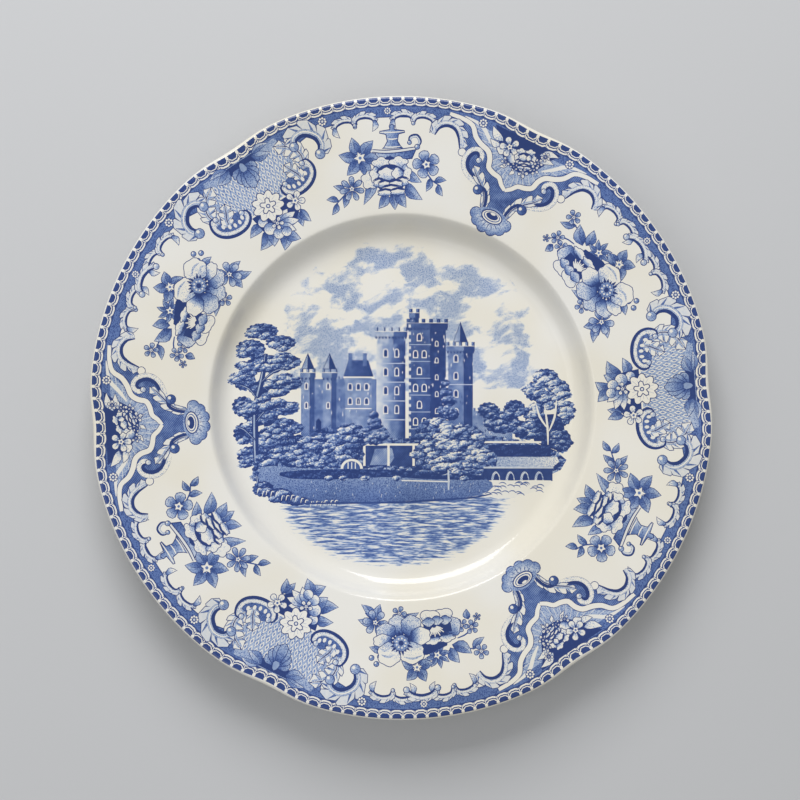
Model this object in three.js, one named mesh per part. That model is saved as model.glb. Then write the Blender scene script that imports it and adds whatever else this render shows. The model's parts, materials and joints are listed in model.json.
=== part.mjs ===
// A souvenir plate in glazed earthenware, in millimetres, +Z up.
// It lies face up on its foot ring. The origin is at table height, under the centre of the plate.
import * as THREE from "three";

// Driving dimensions.
const plateDiameter = 254; // widest, across the rim between its notches
const plateHeight = 23; // table to the top of the rim
const wellDiameter = 136; // flat floor of the well
const shoulderRun = 12; // from the flat floor out to the crest, where the rim begins
const rimRise = 6.4; // climb of the rim from the crest to its edge
const floorThickness = 4.4;
const rimThickness = 4.2; // at the crest
const edgeThickness = 3; // of the round bead at the outer edge
const notchCount = 6; // shallow dips that break the round outline
const notchDepth = 1.5;
const notchSpread = 4; // degrees from a dip's centre to where it is 61% as deep
const notchTurn = 4; // degrees from +X to the first dip's centre
const footHeight = 2.6; // depth of the recess under the floor
const footOutset = 6.4; // from the flat floor's radius out to the foot ring's
const footLandWidth = 3.4; // flat annulus that stands on the table
const footDraft = 1.2; // run of each sloping side of the foot ring

// Fineness of the surface.
const turnSteps = 120; // segments round the plate
const bendSteps = 7; // points along each bend of the section
const rimSteps = 4; // rings across the rim's face, so that the dips fade in smoothly

// Places that follow from them.
const plateRadius = plateDiameter / 2;
const wellRadius = wellDiameter / 2;
const crestRadius = wellRadius + shoulderRun;
const crestTop = plateHeight - rimRise;
const floorTop = footHeight + floorThickness;
const footOuter = wellRadius + footOutset;
const footInner = footOuter - footLandWidth;
const beadRadius = edgeThickness / 2;
const beadCentre = plateRadius - beadRadius;
const rimSlope = rimRise / (beadCentre - crestRadius);

// Half of the plate's section as x (radius) and y (height): out along the face from the axis,
// round the edge, and back underneath to the axis.
function sectionOutline() {
  const section = new THREE.Path();

  // Face: the flat floor turns up into the shoulder, which rolls over into the sloping rim.
  const faceLean = 0.45 * shoulderRun; // how far each end of the bend keeps its own slope
  section.moveTo(0, floorTop);
  section.lineTo(wellRadius, floorTop);
  section.bezierCurveTo(
    wellRadius + faceLean,
    floorTop,
    crestRadius - faceLean,
    crestTop - faceLean * rimSlope,
    crestRadius,
    crestTop,
  );
  for (let ring = 1; ring < rimSteps; ring++) {
    const run = ((beadCentre - crestRadius) * ring) / rimSteps;
    section.lineTo(crestRadius + run, crestTop + run * rimSlope);
  }

  // Edge: a half-round bead.
  const beadHeight = plateHeight - beadRadius;
  section.lineTo(beadCentre, plateHeight);
  section.absarc(beadCentre, beadHeight, beadRadius, Math.PI / 2, -Math.PI / 2, true);

  // Underside: back of the rim, back of the shoulder, then the foot ring and the recess inside it.
  const backRadius = crestRadius + rimThickness;
  const backTop = crestTop - rimThickness;
  const footTop = footOuter + footDraft;
  const backLean = (backRadius - footTop) / 2;
  section.lineTo((beadCentre + backRadius) / 2, (plateHeight - edgeThickness + backTop) / 2);
  section.lineTo(backRadius, backTop);
  section.bezierCurveTo(
    backRadius - backLean,
    backTop - backLean * rimSlope,
    footTop + backLean,
    footHeight + backLean,
    footTop,
    footHeight,
  );
  section.lineTo(footOuter, 0);
  section.lineTo(footInner, 0);
  section.lineTo(footInner - footDraft, footHeight);
  section.lineTo(0, footHeight);
  return section.getPoints(bendSteps);
}

// Share of the notch depth in a direction: 1 at a notch's centre, falling to 0 between notches.
function notchShare(degrees) {
  const pitch = 360 / notchCount;
  const offCentre = THREE.MathUtils.euclideanModulo(degrees - notchTurn + pitch / 2, pitch) - pitch / 2;
  return Math.exp(-((offCentre / notchSpread) ** 2) / 2);
}

// The section spun round the axis, with its rim then pulled in at the notches.
// The pull fades to nothing at the crest, so the well and the foot ring stay round.
function plateGeometry() {
  const geometry = new THREE.LatheGeometry(sectionOutline().reverse(), turnSteps);
  geometry.rotateX(Math.PI / 2);
  const position = geometry.getAttribute("position");
  for (let i = 0; i < position.count; i++) {
    const x = position.getX(i);
    const y = position.getY(i);
    const radius = Math.hypot(x, y);
    const fade = THREE.MathUtils.smoothstep(radius, crestRadius, plateRadius);
    if (fade > 0) {
      const degrees = THREE.MathUtils.radToDeg(Math.atan2(y, x));
      const pull = 1 - (notchDepth * notchShare(degrees) * fade) / radius;
      position.setXY(i, x * pull, y * pull);
    }
  }
  geometry.computeVertexNormals();
  return geometry;
}

const glazedEarthenware = new THREE.MeshStandardMaterial({
  color: 0xe9e6dc,
  roughness: 0.15,
  metalness: 0,
});

const plate = new THREE.Group();
const plateBody = new THREE.Mesh(plateGeometry(), glazedEarthenware);
plateBody.name = "plate_body";
plate.add(plateBody);

export default plate;
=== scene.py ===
# %% [markdown]
# A souvenir plate in glazed earthenware, printed in one blue. A potter makes the body by pressing
# clay between a mould and a turned profile, fires it, lays the print on the biscuit-fired face, and
# then dips the whole plate in clear glaze and fires it again. The lesson follows that order: the
# turned body first, then the print drawn as cut paper, then the glaze, and a table and light last.

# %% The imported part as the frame
import cmath
import json
from math import asin, cos, pi, radians, sin
import bpy
import numpy as np
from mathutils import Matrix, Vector
from mathutils.geometry import delaunay_2d_cdt

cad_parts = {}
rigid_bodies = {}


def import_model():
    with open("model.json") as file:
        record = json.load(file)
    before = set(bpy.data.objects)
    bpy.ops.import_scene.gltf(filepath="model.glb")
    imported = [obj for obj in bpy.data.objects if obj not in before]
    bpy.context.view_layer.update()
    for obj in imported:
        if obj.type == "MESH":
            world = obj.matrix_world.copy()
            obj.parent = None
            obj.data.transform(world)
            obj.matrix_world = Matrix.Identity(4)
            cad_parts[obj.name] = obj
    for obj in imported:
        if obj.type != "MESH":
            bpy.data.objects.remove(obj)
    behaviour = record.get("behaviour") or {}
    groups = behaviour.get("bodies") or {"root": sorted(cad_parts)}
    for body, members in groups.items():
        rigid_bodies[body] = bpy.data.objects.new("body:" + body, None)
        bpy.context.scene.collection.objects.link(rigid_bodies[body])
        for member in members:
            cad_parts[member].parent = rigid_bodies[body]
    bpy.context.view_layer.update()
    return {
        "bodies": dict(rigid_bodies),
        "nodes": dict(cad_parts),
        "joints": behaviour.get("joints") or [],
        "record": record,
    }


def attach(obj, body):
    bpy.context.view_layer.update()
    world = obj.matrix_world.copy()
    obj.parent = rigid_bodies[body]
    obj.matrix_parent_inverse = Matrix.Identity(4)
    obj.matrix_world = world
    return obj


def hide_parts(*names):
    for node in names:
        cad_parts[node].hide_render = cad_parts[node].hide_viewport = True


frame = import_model()

# %% [markdown]
# Every size is in millimetres, as a potter would write it, and is turned into metres only where a
# mesh is made. The numbers are those of the part's drawing: a flat well, a bend up to the crest, a
# sloping rim with a round bead for an edge, and a foot ring underneath. Six shallow dips break the
# round outline.

# %% Sizes of the plate
MM = 0.001
PLATE_RADIUS, PLATE_HEIGHT = 127.0, 23.0
WELL_RADIUS, CREST_RADIUS, CREST_TOP = 68.0, 80.0, 16.6
FLOOR_TOP, FOOT_HEIGHT = 7.0, 2.6
RIM_THICKNESS, BEAD_RADIUS = 4.2, 1.5
FOOT_OUTER, FOOT_INNER, FOOT_DRAFT = 74.4, 71.0, 1.2
NOTCH_DEPTH, NOTCH_SPREAD, NOTCH_TURN, NOTCH_PITCH = 1.5, 4.0, 4.0, 60.0
BEAD_CENTRE = PLATE_RADIUS - BEAD_RADIUS
RIM_SLOPE = (PLATE_HEIGHT - CREST_TOP) / (BEAD_CENTRE - CREST_RADIUS)
FACE_EDGE = 126.4      # the printed face ends here, a little way over the bead
AROUND = 240           # steps round the plate


def bend(start, start_slope, end, end_slope, start_lean, end_lean, steps):
    """Points of a smooth bend between two places, keeping each end's own slope for a while."""
    (r0, z0), (r3, z3) = start, end
    way = 1 if r3 > r0 else -1
    r1, z1 = r0 + way * start_lean, z0 + way * start_lean * start_slope
    r2, z2 = r3 - way * end_lean, z3 - way * end_lean * end_slope
    shares = [k / steps for k in range(steps + 1)]
    mix = [((1 - t) ** 3, 3 * t * (1 - t) ** 2, 3 * t * t * (1 - t), t ** 3) for t in shares]
    return [(a * r0 + b * r1 + c * r2 + d * r3, a * z0 + b * z1 + c * z2 + d * z3)
            for a, b, c, d in mix]


def notch_share(angle):
    off = (np.degrees(angle) - NOTCH_TURN + NOTCH_PITCH / 2) % NOTCH_PITCH - NOTCH_PITCH / 2
    return np.exp(-((off / NOTCH_SPREAD) ** 2) / 2)


def pull(radius, angle):
    """How far the outline is pushed in at this place."""
    fade = np.clip((radius - CREST_RADIUS) / (PLATE_RADIUS - CREST_RADIUS), 0, 1)
    return NOTCH_DEPTH * notch_share(angle) * fade * fade * (3 - 2 * fade)


SHOULDER = bend((WELL_RADIUS, FLOOR_TOP), 0, (CREST_RADIUS, CREST_TOP), RIM_SLOPE, 8.6, 3.4, 48)
SHOULDER_RADII = [r for r, z in SHOULDER]
SHOULDER_HEIGHTS = [z for r, z in SHOULDER]


def face_height(places):
    """Height of the face over places given as complex numbers, seen from above."""
    seen, angle = np.abs(places), np.angle(places)
    radius = seen
    for _ in range(3):
        radius = seen + pull(radius, angle)
    rim = CREST_TOP + (np.minimum(radius, BEAD_CENTRE) - CREST_RADIUS) * RIM_SLOPE
    over = np.clip((radius - BEAD_CENTRE) / BEAD_RADIUS, 0, 1)
    rim = rim - BEAD_RADIUS * (1 - np.sqrt(1 - over * over))
    shoulder = np.interp(radius, SHOULDER_RADII, SHOULDER_HEIGHTS)
    return np.where(radius > CREST_RADIUS, rim, shoulder)


print("rim slope", round(RIM_SLOPE, 3), "face edge height",
      round(float(face_height(np.array([FACE_EDGE * 1j]))[0]), 2))

# %% [markdown]
# The back and the edge are turned, so the section is drawn once and spun. A single point is pushed
# out step by step along the section, from the printed face's edge round the bead, down the back of
# the rim, over the foot ring and in to the axis. The real one is shaped the same way: the profile
# tool stands still while the clay turns.

# %% Section of the back
def back_section():
    bead_start = asin((FACE_EDGE - BEAD_CENTRE) / BEAD_RADIUS)
    turn = [bead_start + (pi - bead_start) * k / 9 for k in range(10)]
    bead_height = PLATE_HEIGHT - BEAD_RADIUS
    bead = [(BEAD_CENTRE + BEAD_RADIUS * sin(a), bead_height + BEAD_RADIUS * cos(a)) for a in turn]
    back_crest = (CREST_RADIUS + RIM_THICKNESS, CREST_TOP - RIM_THICKNESS)
    bead_r, bead_z = bead[-1]
    rim = [(bead_r + (back_crest[0] - bead_r) * k / 6, bead_z + (back_crest[1] - bead_z) * k / 6)
           for k in range(1, 6)]
    foot_top = (FOOT_OUTER + FOOT_DRAFT, FOOT_HEIGHT)
    lean = (back_crest[0] - foot_top[0]) / 2
    curve_in = bend(back_crest, RIM_SLOPE, foot_top, 1, lean, lean, 10)
    foot = [(FOOT_OUTER, 0), (FOOT_INNER, 0), (FOOT_INNER - FOOT_DRAFT, FOOT_HEIGHT)]
    recess = [(40, FOOT_HEIGHT), (0, FOOT_HEIGHT)]
    return bead + rim + curve_in + foot + recess


def new_point(name, radius, height):
    """A mesh that holds one point, ready to be pushed out."""
    bpy.ops.object.select_all(action="DESELECT")
    bpy.ops.mesh.primitive_plane_add(size=1)
    made = bpy.context.object
    made.name = name
    bpy.ops.object.mode_set(mode="EDIT")
    bpy.ops.mesh.merge(type="CENTER")
    bpy.ops.transform.translate(value=(radius * MM, 0, height * MM))
    return made


section = back_section()
plate = new_point("plate", *section[0])
for (r, z), (next_r, next_z) in zip(section, section[1:]):
    step = ((next_r - r) * MM, 0, (next_z - z) * MM)
    bpy.ops.mesh.extrude_region_move(TRANSFORM_OT_translate={"value": step})
bpy.ops.mesh.select_all(action="SELECT")
bpy.ops.mesh.spin(steps=AROUND, angle=2 * pi, center=(0, 0, 0), axis=(0, 0, 1))
bpy.ops.mesh.select_all(action="SELECT")
bpy.ops.mesh.remove_doubles(threshold=0.001 * MM)
bpy.ops.object.mode_set(mode="OBJECT")
print("back turned:", len(section), "section points,", len(plate.data.polygons), "faces")

# %% [markdown]
# The two corners of the foot ring's land are sponged round before firing, so that they don't cut the
# table. A small bevel does it here.

# %% Round the foot ring
def pick_edges(made, wanted):
    """Selects the edges whose two ends pass the test, given their radius and height in millimetres."""
    bpy.ops.object.mode_set(mode="EDIT")
    bpy.ops.mesh.select_mode(type="EDGE")
    bpy.ops.mesh.select_all(action="DESELECT")
    bpy.ops.object.mode_set(mode="OBJECT")
    corners = [(abs(complex(v.co.x, v.co.y)) / MM, v.co.z / MM) for v in made.data.vertices]
    for edge in made.data.edges:
        edge.select = wanted(corners[edge.vertices[0]], corners[edge.vertices[1]])
    bpy.ops.object.mode_set(mode="EDIT")


def on_land_corner(one, other):
    return one[1] < 0.01 and other[1] < 0.01 and abs(one[0] - other[0]) < 0.5


pick_edges(plate, on_land_corner)
bpy.ops.mesh.bevel(offset=0.35 * MM, segments=3, affect="EDGES")
bpy.ops.object.mode_set(mode="OBJECT")
print("foot ring rounded:", len(plate.data.polygons), "faces")

# %% [markdown]
# The print is drawn flat, as a designer cuts coloured paper: a list of shapes, each laid over the ones
# before it. A place on the sheet is one complex number in millimetres, so that turning and moving a
# pattern is plain multiplying and adding. The border is drawn in places across and out from a motif's
# own axis, and follows the dips of the edge by itself.

# %% The sheet and its places
WASH, STIPPLE, HATCH, LEAFAGE, CLOUD, WATER = "wash", "stipple", "hatch", "leafage", "cloud", "water"
PRINT_DIP = 2.25        # how far the print's edge is pressed in at a notch
MOTIF_REACH = 105       # radius at which a step across a motif is a true millimetre
sheet = []


def lay(points, ink, grain=WASH):
    sheet.append((points, ink, grain))


def dipped(place):
    """Moves a place near the edge inwards at the notches, so that the border follows them."""
    radius, angle = cmath.polar(place)
    fade = min(max((radius - 100) / 22, 0), 1)
    dip = min(PRINT_DIP + 0.19 * (126.4 - radius), 3.0)
    return cmath.rect(radius - dip * notch_share(angle) * fade, angle)


def spot(axis):
    def at(across, out):
        return dipped(cmath.rect(out, radians(axis) - across / MOTIF_REACH))
    return at


def mirrored(at):
    return lambda across, out: at(-across, out)


def placed(at, pairs):
    """Places on the sheet for pairs of across and out."""
    return [at(across, out) for across, out in pairs]


def curve(points, steps=4, closed=False):
    n = len(points)
    out = []
    for i in range(n if closed else n - 1):
        p1, p2 = points[i], points[(i + 1) % n]
        p0 = points[i - 1] if (closed or i) else p1
        p3 = points[(i + 2) % n] if (closed or i + 2 < n) else p2
        for s in range(steps):
            t = s / steps
            out.append(0.5 * (2 * p1 + (p2 - p0) * t + (2 * p0 - 5 * p1 + 4 * p2 - p3) * t * t
                              + (3 * p1 - p0 - 3 * p2 + p3) * t ** 3))
    if not closed:
        out.append(points[-1])
    return out


def beside(path, distance):
    """The same path moved sideways, to its left where the distance is positive."""
    moved = []
    for i, place in enumerate(path):
        ahead = path[min(i + 1, len(path) - 1)] - path[max(i - 1, 0)]
        moved.append(place + 1j * ahead / (abs(ahead) or 1) * distance)
    return moved


def ahead_of(path, share):
    """A place along a path, and the direction the path runs there."""
    i = int(min(max(share, 0), 0.999) * (len(path) - 1))
    ahead = path[i + 1] - path[i]
    return path[i], ahead / (abs(ahead) or 1)


print("a motif's place, in mm:", round(abs(spot(0)(10, 100)), 1), "from the middle")

# %% [markdown]
# An engraver's shapes are few: a line that swells and tapers, an oval with or without scallops, and an
# outline filled a hair inside its edge. Ink runs from 0, bare glaze, to 1, the darkest blue. It may be
# a small formula instead of a number, and then it fades across the shape.

# %% Strokes, ovals and fades
def inset(points, width):
    n = len(points)
    area = sum((points[i - 1].conjugate() * points[i]).imag for i in range(n))
    turn = 1j if area > 0 else -1j
    out = []
    for i in range(n):
        before, after = points[i] - points[i - 1], points[(i + 1) % n] - points[i]
        before /= abs(before) or 1
        after /= abs(after) or 1
        inward = turn * (before + after)
        size = abs(inward)
        step = inward / size * width * min(2 / max(size, 0.8), 1.6) if size > 1e-6 else 0
        out.append(points[i] + step)
    return out


def edged(points, line, body, width=0.3, grain=WASH):
    lay(points, line)
    lay(inset(points, width), body, grain)


def oval(centre, rx, ry=None, tilt=0.0, lobes=0, depth=0.0, count=12):
    ry = ry or rx
    out = []
    for i in range(count):
        a = 2 * pi * i / count
        k = 1 + depth * (abs(cos(lobes * a / 2)) - 0.6) if lobes else 1
        out.append(centre + cmath.exp(1j * tilt) * complex(rx * k * cos(a), ry * k * sin(a)))
    return out


def stroke(points, width, ink, taper=0.8, grain=WASH, steps=3):
    path = curve(points, steps)
    n = len(path) - 1
    left, right = [], []
    for i, place in enumerate(path):
        ahead = path[min(i + 1, n)] - path[max(i - 1, 0)]
        side = 1j * ahead / (abs(ahead) or 1)
        half = width / 2 * max(1 - taper * abs(2 * i / n - 1) ** 2, 0.12)
        left.append(place + side * half)
        right.append(place - side * half)
    lay(left + right[::-1], ink, grain)


def fade(start, end, first, last):
    """Ink that changes evenly from one place to another."""
    run = end - start
    def laid(places):
        share = ((places - start) * run.conjugate()).real / abs(run) ** 2
        return first + (last - first) * np.clip(share, 0, 1)
    return laid


print("half way along a fade:", fade(0, 10, 0.2, 0.8)(np.array([5 + 0j]))[0])

# %% [markdown]
# All leaves and petals in the pattern are one idea at different widths: a foot, a tip, two swelling
# sides, a dark edge, and a fade from the foot. The large scrolling leaf is half a leaf with hooked
# lobes, laid once on each side of its rib.

# %% Leaves
def leaf_sides(base, tip, width, bend=0.0, steps=5):
    along = tip - base
    side = 1j * along / abs(along)
    spine, left, right = [], [], []
    for i in range(1, steps):
        t = i / steps
        place = base + along * t + side * bend * abs(along) * sin(pi * t)
        half = width / 2 * sin(pi * t ** 0.8)
        spine.append(place)
        left.append(place + side * half)
        right.append(place - side * half)
    return spine, left, right


def leaf(base, tip, width, bend=0.0, light=0.3, dark=0.8, line=0.95, edge=0.26):
    """A pointed leaf, darker at its foot and along its vein."""
    spine, left, right = leaf_sides(base, tip, width, bend)
    outline = [base] + left + [tip] + right[::-1]
    lay(outline, line)
    lay(inset(outline, edge), fade(base, base + (tip - base) * 0.8, dark, light), STIPPLE)
    lay(inset([base] + right + [tip] + spine[::-1], edge * 0.8),
        fade(base, tip, dark + 0.14, light + 0.14), STIPPLE)
    stroke([base] + spine[1:3] + [spine[-1]], 0.26, line, 0.6, steps=1)


def lobe_leaf(base, tip, width, body=0.02, shade=0.5, bend=0.15, line=0.98):
    """One pointed lobe, shaded at its foot."""
    spine, left, right = leaf_sides(base, tip, width, bend, 5)
    outline = [base] + left + [tip] + right[::-1]
    edged(outline, line, fade(base, base + (tip - base) * 0.7, shade, body), 0.24, STIPPLE)


def acanthus(path, size, lobes, side=1, body=0.02, shade=0.6, line=1.0):
    """Half of a scrolling leaf: hooked lobes along one side of its rib, a vein in each."""
    rib = curve(path, 8)
    outer, veins = [], []
    for k in range(lobes):
        grow = side * 1j * size * (0.66 + 0.34 * sin(pi * (k + 0.6) / lobes))
        for share, reach in ((0.0, 0.3), (0.25, 0.74), (0.75, 1.0), (1.2, 1.0), (1.25, 0.8)):
            place, ahead = ahead_of(rib, (k + share) / lobes)
            outer.append(place + ahead * grow * reach)
        veins.append((ahead_of(rib, k / lobes)[0], outer[-3], outer[-5]))
    outline = rib + [rib[-1] + ahead * size * 0.35] + outer[::-1]
    lay(outline, line)
    lay(inset(outline, 0.28), body)
    stroke(beside(path, side * size * 0.14), size * 0.34, shade * 0.75, 0.6, STIPPLE)
    for foot, tip, notch in veins:
        stroke([foot, foot + (tip - foot) * 0.4, foot + (tip - foot) * 0.86], size * 0.18, shade, 0.8,
               STIPPLE, 1)
        stroke([foot + (notch - foot) * 0.1, notch * 0.96 + foot * 0.04], 0.42, line, 0.6, steps=1)


def frond(path, size, lobes=5, left=1.0, right=1.0, body=0.02, shade=0.6):
    """A curled leaf with hooked lobes down both sides of its rib."""
    acanthus(path, size * left * 0.6, lobes, 1, body, shade)
    acanthus(path, size * right * 0.6, lobes, -1, body, shade)
    stroke(path, size * 0.12, body, 0.6)
    stroke(path, 0.5, 1.0, 0.8)


print("points down each side of a leaf:", len(leaf_sides(0, 10, 4)[1]))

# %% [markdown]
# A flower is a ring of petals round a small star. Full-blown ones are stacks of scalloped cups over
# dark gaps, because the gaps are what makes printed petals stand out from each other.

# %% Flowers
def petal(base, tip, width, body, line=0.95, round_tip=True, edge=0.28, shade=0.6):
    """A petal that pales from its foot to its tip."""
    along = tip - base
    side = 1j * along / abs(along)
    shape = ((0.0, 0.12), (0.3, 0.36), (0.62, 0.52), (0.88, 0.42), (1.0, 0.12)) if round_tip else \
            ((0.0, 0.14), (0.25, 0.4), (0.5, 0.5), (0.78, 0.3), (1.0, 0.0))
    left = [base + along * t + side * width * w for t, w in shape]
    right = [base + along * t - side * width * w for t, w in shape if w]
    outline = left + right[::-1]
    lay(outline, line)
    lay(inset(outline, edge), fade(base + along * 0.1, base + along * 0.75, shade, body), STIPPLE)


def flower(centre, radius, petals=5, tilt=0.0, body=0.3, shade=0.66, round_tip=True, heart=0.28,
           line=0.95, wide=None):
    for i in range(petals):
        way = cmath.exp(1j * (tilt + 2 * pi * i / petals))
        petal(centre + way * radius * 0.12, centre + way * radius, (wide or 3.3 / petals) * radius,
              body, line, round_tip, shade=shade)
    for i in range(petals):
        way = cmath.exp(1j * (tilt + 2 * pi * i / petals))
        stroke([centre + way * radius * 0.3, centre + way * radius * 0.72], 0.24, line, 0.6, steps=1)
    edged(oval(centre, radius * heart, tilt=tilt, lobes=5, depth=0.5, count=10), line, 0.0, 0.22)
    lay(oval(centre, radius * heart * 0.32, count=6), 0.7)


def star_flower(centre, radius, petals=6, tilt=0.0, body=0.3, heart=0.26):
    for i in range(petals):
        way = cmath.exp(1j * (tilt + 2 * pi * i / petals))
        leaf(centre + way * radius * 0.1, centre + way * radius, radius * 3.3 / petals, 0.06, body, 0.9)
    edged(oval(centre, radius * heart, tilt=tilt, lobes=5, depth=0.6, count=10), 0.9, 0.0, 0.22)
    lay(oval(centre, radius * heart * 0.3, count=6), 0.6)


def cup(centre, rx, ry, tilt=0.0, lobes=5, body=0.02, line=0.95, shade=0.6, shade_way=None, depth=0.26,
        count=20):
    """A scalloped petal: pale, edged, and shaded from one side."""
    outline = oval(centre, rx, ry, tilt, lobes, depth, count)
    ink = body
    if shade_way is not None:
        reach = min(rx, ry) * cmath.exp(1j * shade_way)
        ink = fade(centre + reach * 0.95, centre - reach * 0.15, shade, body)
    edged(outline, line, ink, 0.3, STIPPLE)


def rose(centre, radius, tilt):
    """A full-blown rose: white scalloped petals over dark gaps."""
    def to(x, y):
        return centre + cmath.exp(1j * tilt) * complex(y, -x) * radius
    down = tilt + pi
    lay(oval(centre, radius * 0.98, radius * 0.86, tilt, 7, 0.12, 28), 1.0)
    for x, y, wide, high, way in ((-0.44, 0.64, 0.5, 0.36, down), (0.44, 0.64, 0.5, 0.36, down),
                                  (-0.74, 0.1, 0.34, 0.42, tilt - 1.2),
                                  (0.76, 0.12, 0.34, 0.42, tilt + 1.2)):
        cup(to(x, y), radius * high, radius * wide, tilt, 5, shade=0.85, shade_way=way)
    stroke([to(-0.7, 0.2), to(-0.36, 0.46), to(0.2, 0.48), to(0.72, 0.22)], radius * 0.22, 1.0, 0.5)
    cup(to(-0.2, 0.1), radius * 0.36, radius * 0.46, tilt, 6, shade=0.7, shade_way=down)
    cup(to(0.36, 0.12), radius * 0.32, radius * 0.3, tilt, 4, shade=0.75, shade_way=tilt - 1.4)
    for x, y, wide, high in ((-0.6, -0.34, 0.32, 0.22), (0.6, -0.32, 0.34, 0.22),
                             (-0.3, -0.42, 0.38, 0.19), (0.26, -0.42, 0.38, 0.19),
                             (0.0, -0.66, 0.5, 0.19), (-0.3, -0.84, 0.42, 0.17),
                             (0.34, -0.82, 0.42, 0.17)):
        cup(to(x, y), radius * high, radius * wide, tilt, 6, shade=0.9, shade_way=down, count=16)
        stroke([to(x - wide, y + high * 0.7), to(x, y + high * 1.25), to(x + wide, y + high * 0.7)],
               radius * 0.1, 1.0, 0.8, steps=2)


print("points round a scalloped petal:", len(oval(0, 2, 3, lobes=5, depth=0.26, count=20)))

# %% [markdown]
# The border starts with its ground: a band of dotted blue round the edge, whose inner line waves in
# and out between the motifs. The pattern repeats three times round the plate, so every motif is drawn
# once and laid at three turns.

# %% Ground of the border
TURNS = (0, 120, 240)
SHELL_AXIS, TRELLIS_AXIS, VASE_AXIS, SPRAY_AXIS = 64.7, 4.0, 93.0, 34.0      # degrees, first of three
# inner line of the blue ground: degrees clockwise from a shell cartouche's axis, and radius
WAVE = ((0, 112), (8, 112), (14, 117.4), (21, 118), (28, 117.8), (35, 117.6), (41, 118.2), (46, 116),
        (52, 112), (60, 112), (68, 112), (75, 116.5), (81, 118), (88, 118.2), (95, 118), (103, 117.8),
        (110, 115))


def ground():
    """Blue dotted ground under the edge band, then the bare glaze inside its wavy inner line."""
    lay([dipped(cmath.rect(126.3, radians(a))) for a in range(0, 360, 2)], 0.82, STIPPLE)
    inner = [dipped(cmath.rect(out, radians(SHELL_AXIS - degrees - turn)))
             for turn in TURNS for degrees, out in WAVE]
    edge = curve(inner, 3, closed=True)
    lay(inset(edge, -0.4), 0.95)
    lay(edge, 0.0)


ground()
print("ground:", len(sheet), "shapes")

# %% [markdown]
# Printed lace covers the edge, where a joint between two pieces of transfer paper is least seen. Each
# unit is a dark cup, two white ripples under it, and a white bead in the gap to the next.

# %% Lace of the edge
LACE_UNITS = 162
LACE_TOP, LACE_FOOT = 126.35, 122.5     # radii of the dark band under the lace


def edge_band():
    """Lace round the edge: a dark cup, two white ripples under it, and a white bead between cups."""
    pitch = 2 * pi / LACE_UNITS
    for part in range(6):
        top = [dipped(cmath.rect(LACE_TOP, radians(part * 60 + k * 1.5))) for k in range(41)]
        foot = [dipped(cmath.rect(LACE_FOOT, radians(part * 60 + k * 1.5))) for k in range(41)]
        lay(top + foot[::-1], 0.95)
    for k in range(LACE_UNITS):
        def at(across, out):
            return dipped(cmath.rect(out, (k + across) * pitch))
        for high, low, sag in ((125.35, 124.7, 1.0), (124.1, 123.3, 0.55)):
            upper = ((-0.42, high), (-0.2, high - sag), (0.2, high - sag), (0.42, high))
            lower = ((0.42, low), (0.2, low - sag * 0.7), (-0.2, low - sag * 0.7), (-0.42, low))
            lay(placed(at, upper + lower), 0.0)
        bead = ((0.4, LACE_TOP), (0.6, LACE_TOP), (0.64, 125.7), (0.56, 125.0), (0.44, 125.0),
                (0.36, 125.7))
        lay(placed(at, bead), 0.0)
        lay(placed(at, ((0.47, 124.9), (0.53, 124.9), (0.54, 123.4), (0.46, 123.4))), 0.0)


edge_band()
print("lace:", LACE_UNITS, "units,", len(sheet), "shapes so far")

# %% [markdown]
# Scrolls tie the border together. A scroll is a stroke with a dark hollow on its inner side, a thin
# light along its back, a round knob at each end, and often a leafy frill on the outside.

# %% Scrolls, knobs and florets
def knob(centre, radius, body=0.4):
    ink = fade(centre + radius, centre - radius, body + 0.25, body)
    edged(oval(centre, radius, count=14), 0.98, ink, 0.3, STIPPLE)
    lay(oval(centre + complex(-0.3, 0.3) * radius, radius * 0.34, count=6), 0.0)


def floret(centre, radius=1.6):
    lay(oval(centre, radius * 1.18, count=12), 0.9)
    for i in range(8):
        lay(oval(centre + cmath.exp(1j * pi * i / 4) * radius * 0.76, radius * 0.27, count=6), 0.0)
    lay(oval(centre, radius * 0.3, count=6), 0.1)


def scroll(at, path, width, hollow=1, tone=0.34, ends=(2.0, 2.0), frill=0, frill_size=3.0):
    """A C or S scroll: dark hollow inside, pale band with a light along it, round ends, leafy back."""
    way = placed(at, path)
    if frill:
        acanthus(way, frill_size, frill, -hollow, 0.08, 0.8)
    stroke(way, width, 0.98, 0.3, steps=5)
    stroke(beside(way, -hollow * 0.1 * width), width * 0.74, tone, 0.3, STIPPLE, steps=5)
    stroke(beside(way, hollow * width * 0.24), width * 0.42, 1.0, 0.9, steps=5)
    stroke(beside(way, -hollow * width * 0.2), width * 0.15, 0.0, 0.9, steps=5)
    for place, radius in zip((way[0], way[-1]), ends):
        if radius:
            knob(place, radius, tone)


def running_scrolls(at, places):
    """Small scrolls and drops that hang along the inner line of the ground."""
    for u, v, side in places:
        def near(across, out):
            return at(u + side * across, v + out)
        scroll(near, ((-3.8, -1.6), (-2.8, 0.7), (0, 1.4), (2.8, 0.5), (3.8, -1.2)), 1.9, -side, 0.3,
               (0.9, 1.0), 4, 2.5)
        lobe_leaf(at(u + side * 3.6, v), at(u + side * 2.4, v - 5.0), 2.6, 0.1, 0.9, 0.2 * side)


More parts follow.
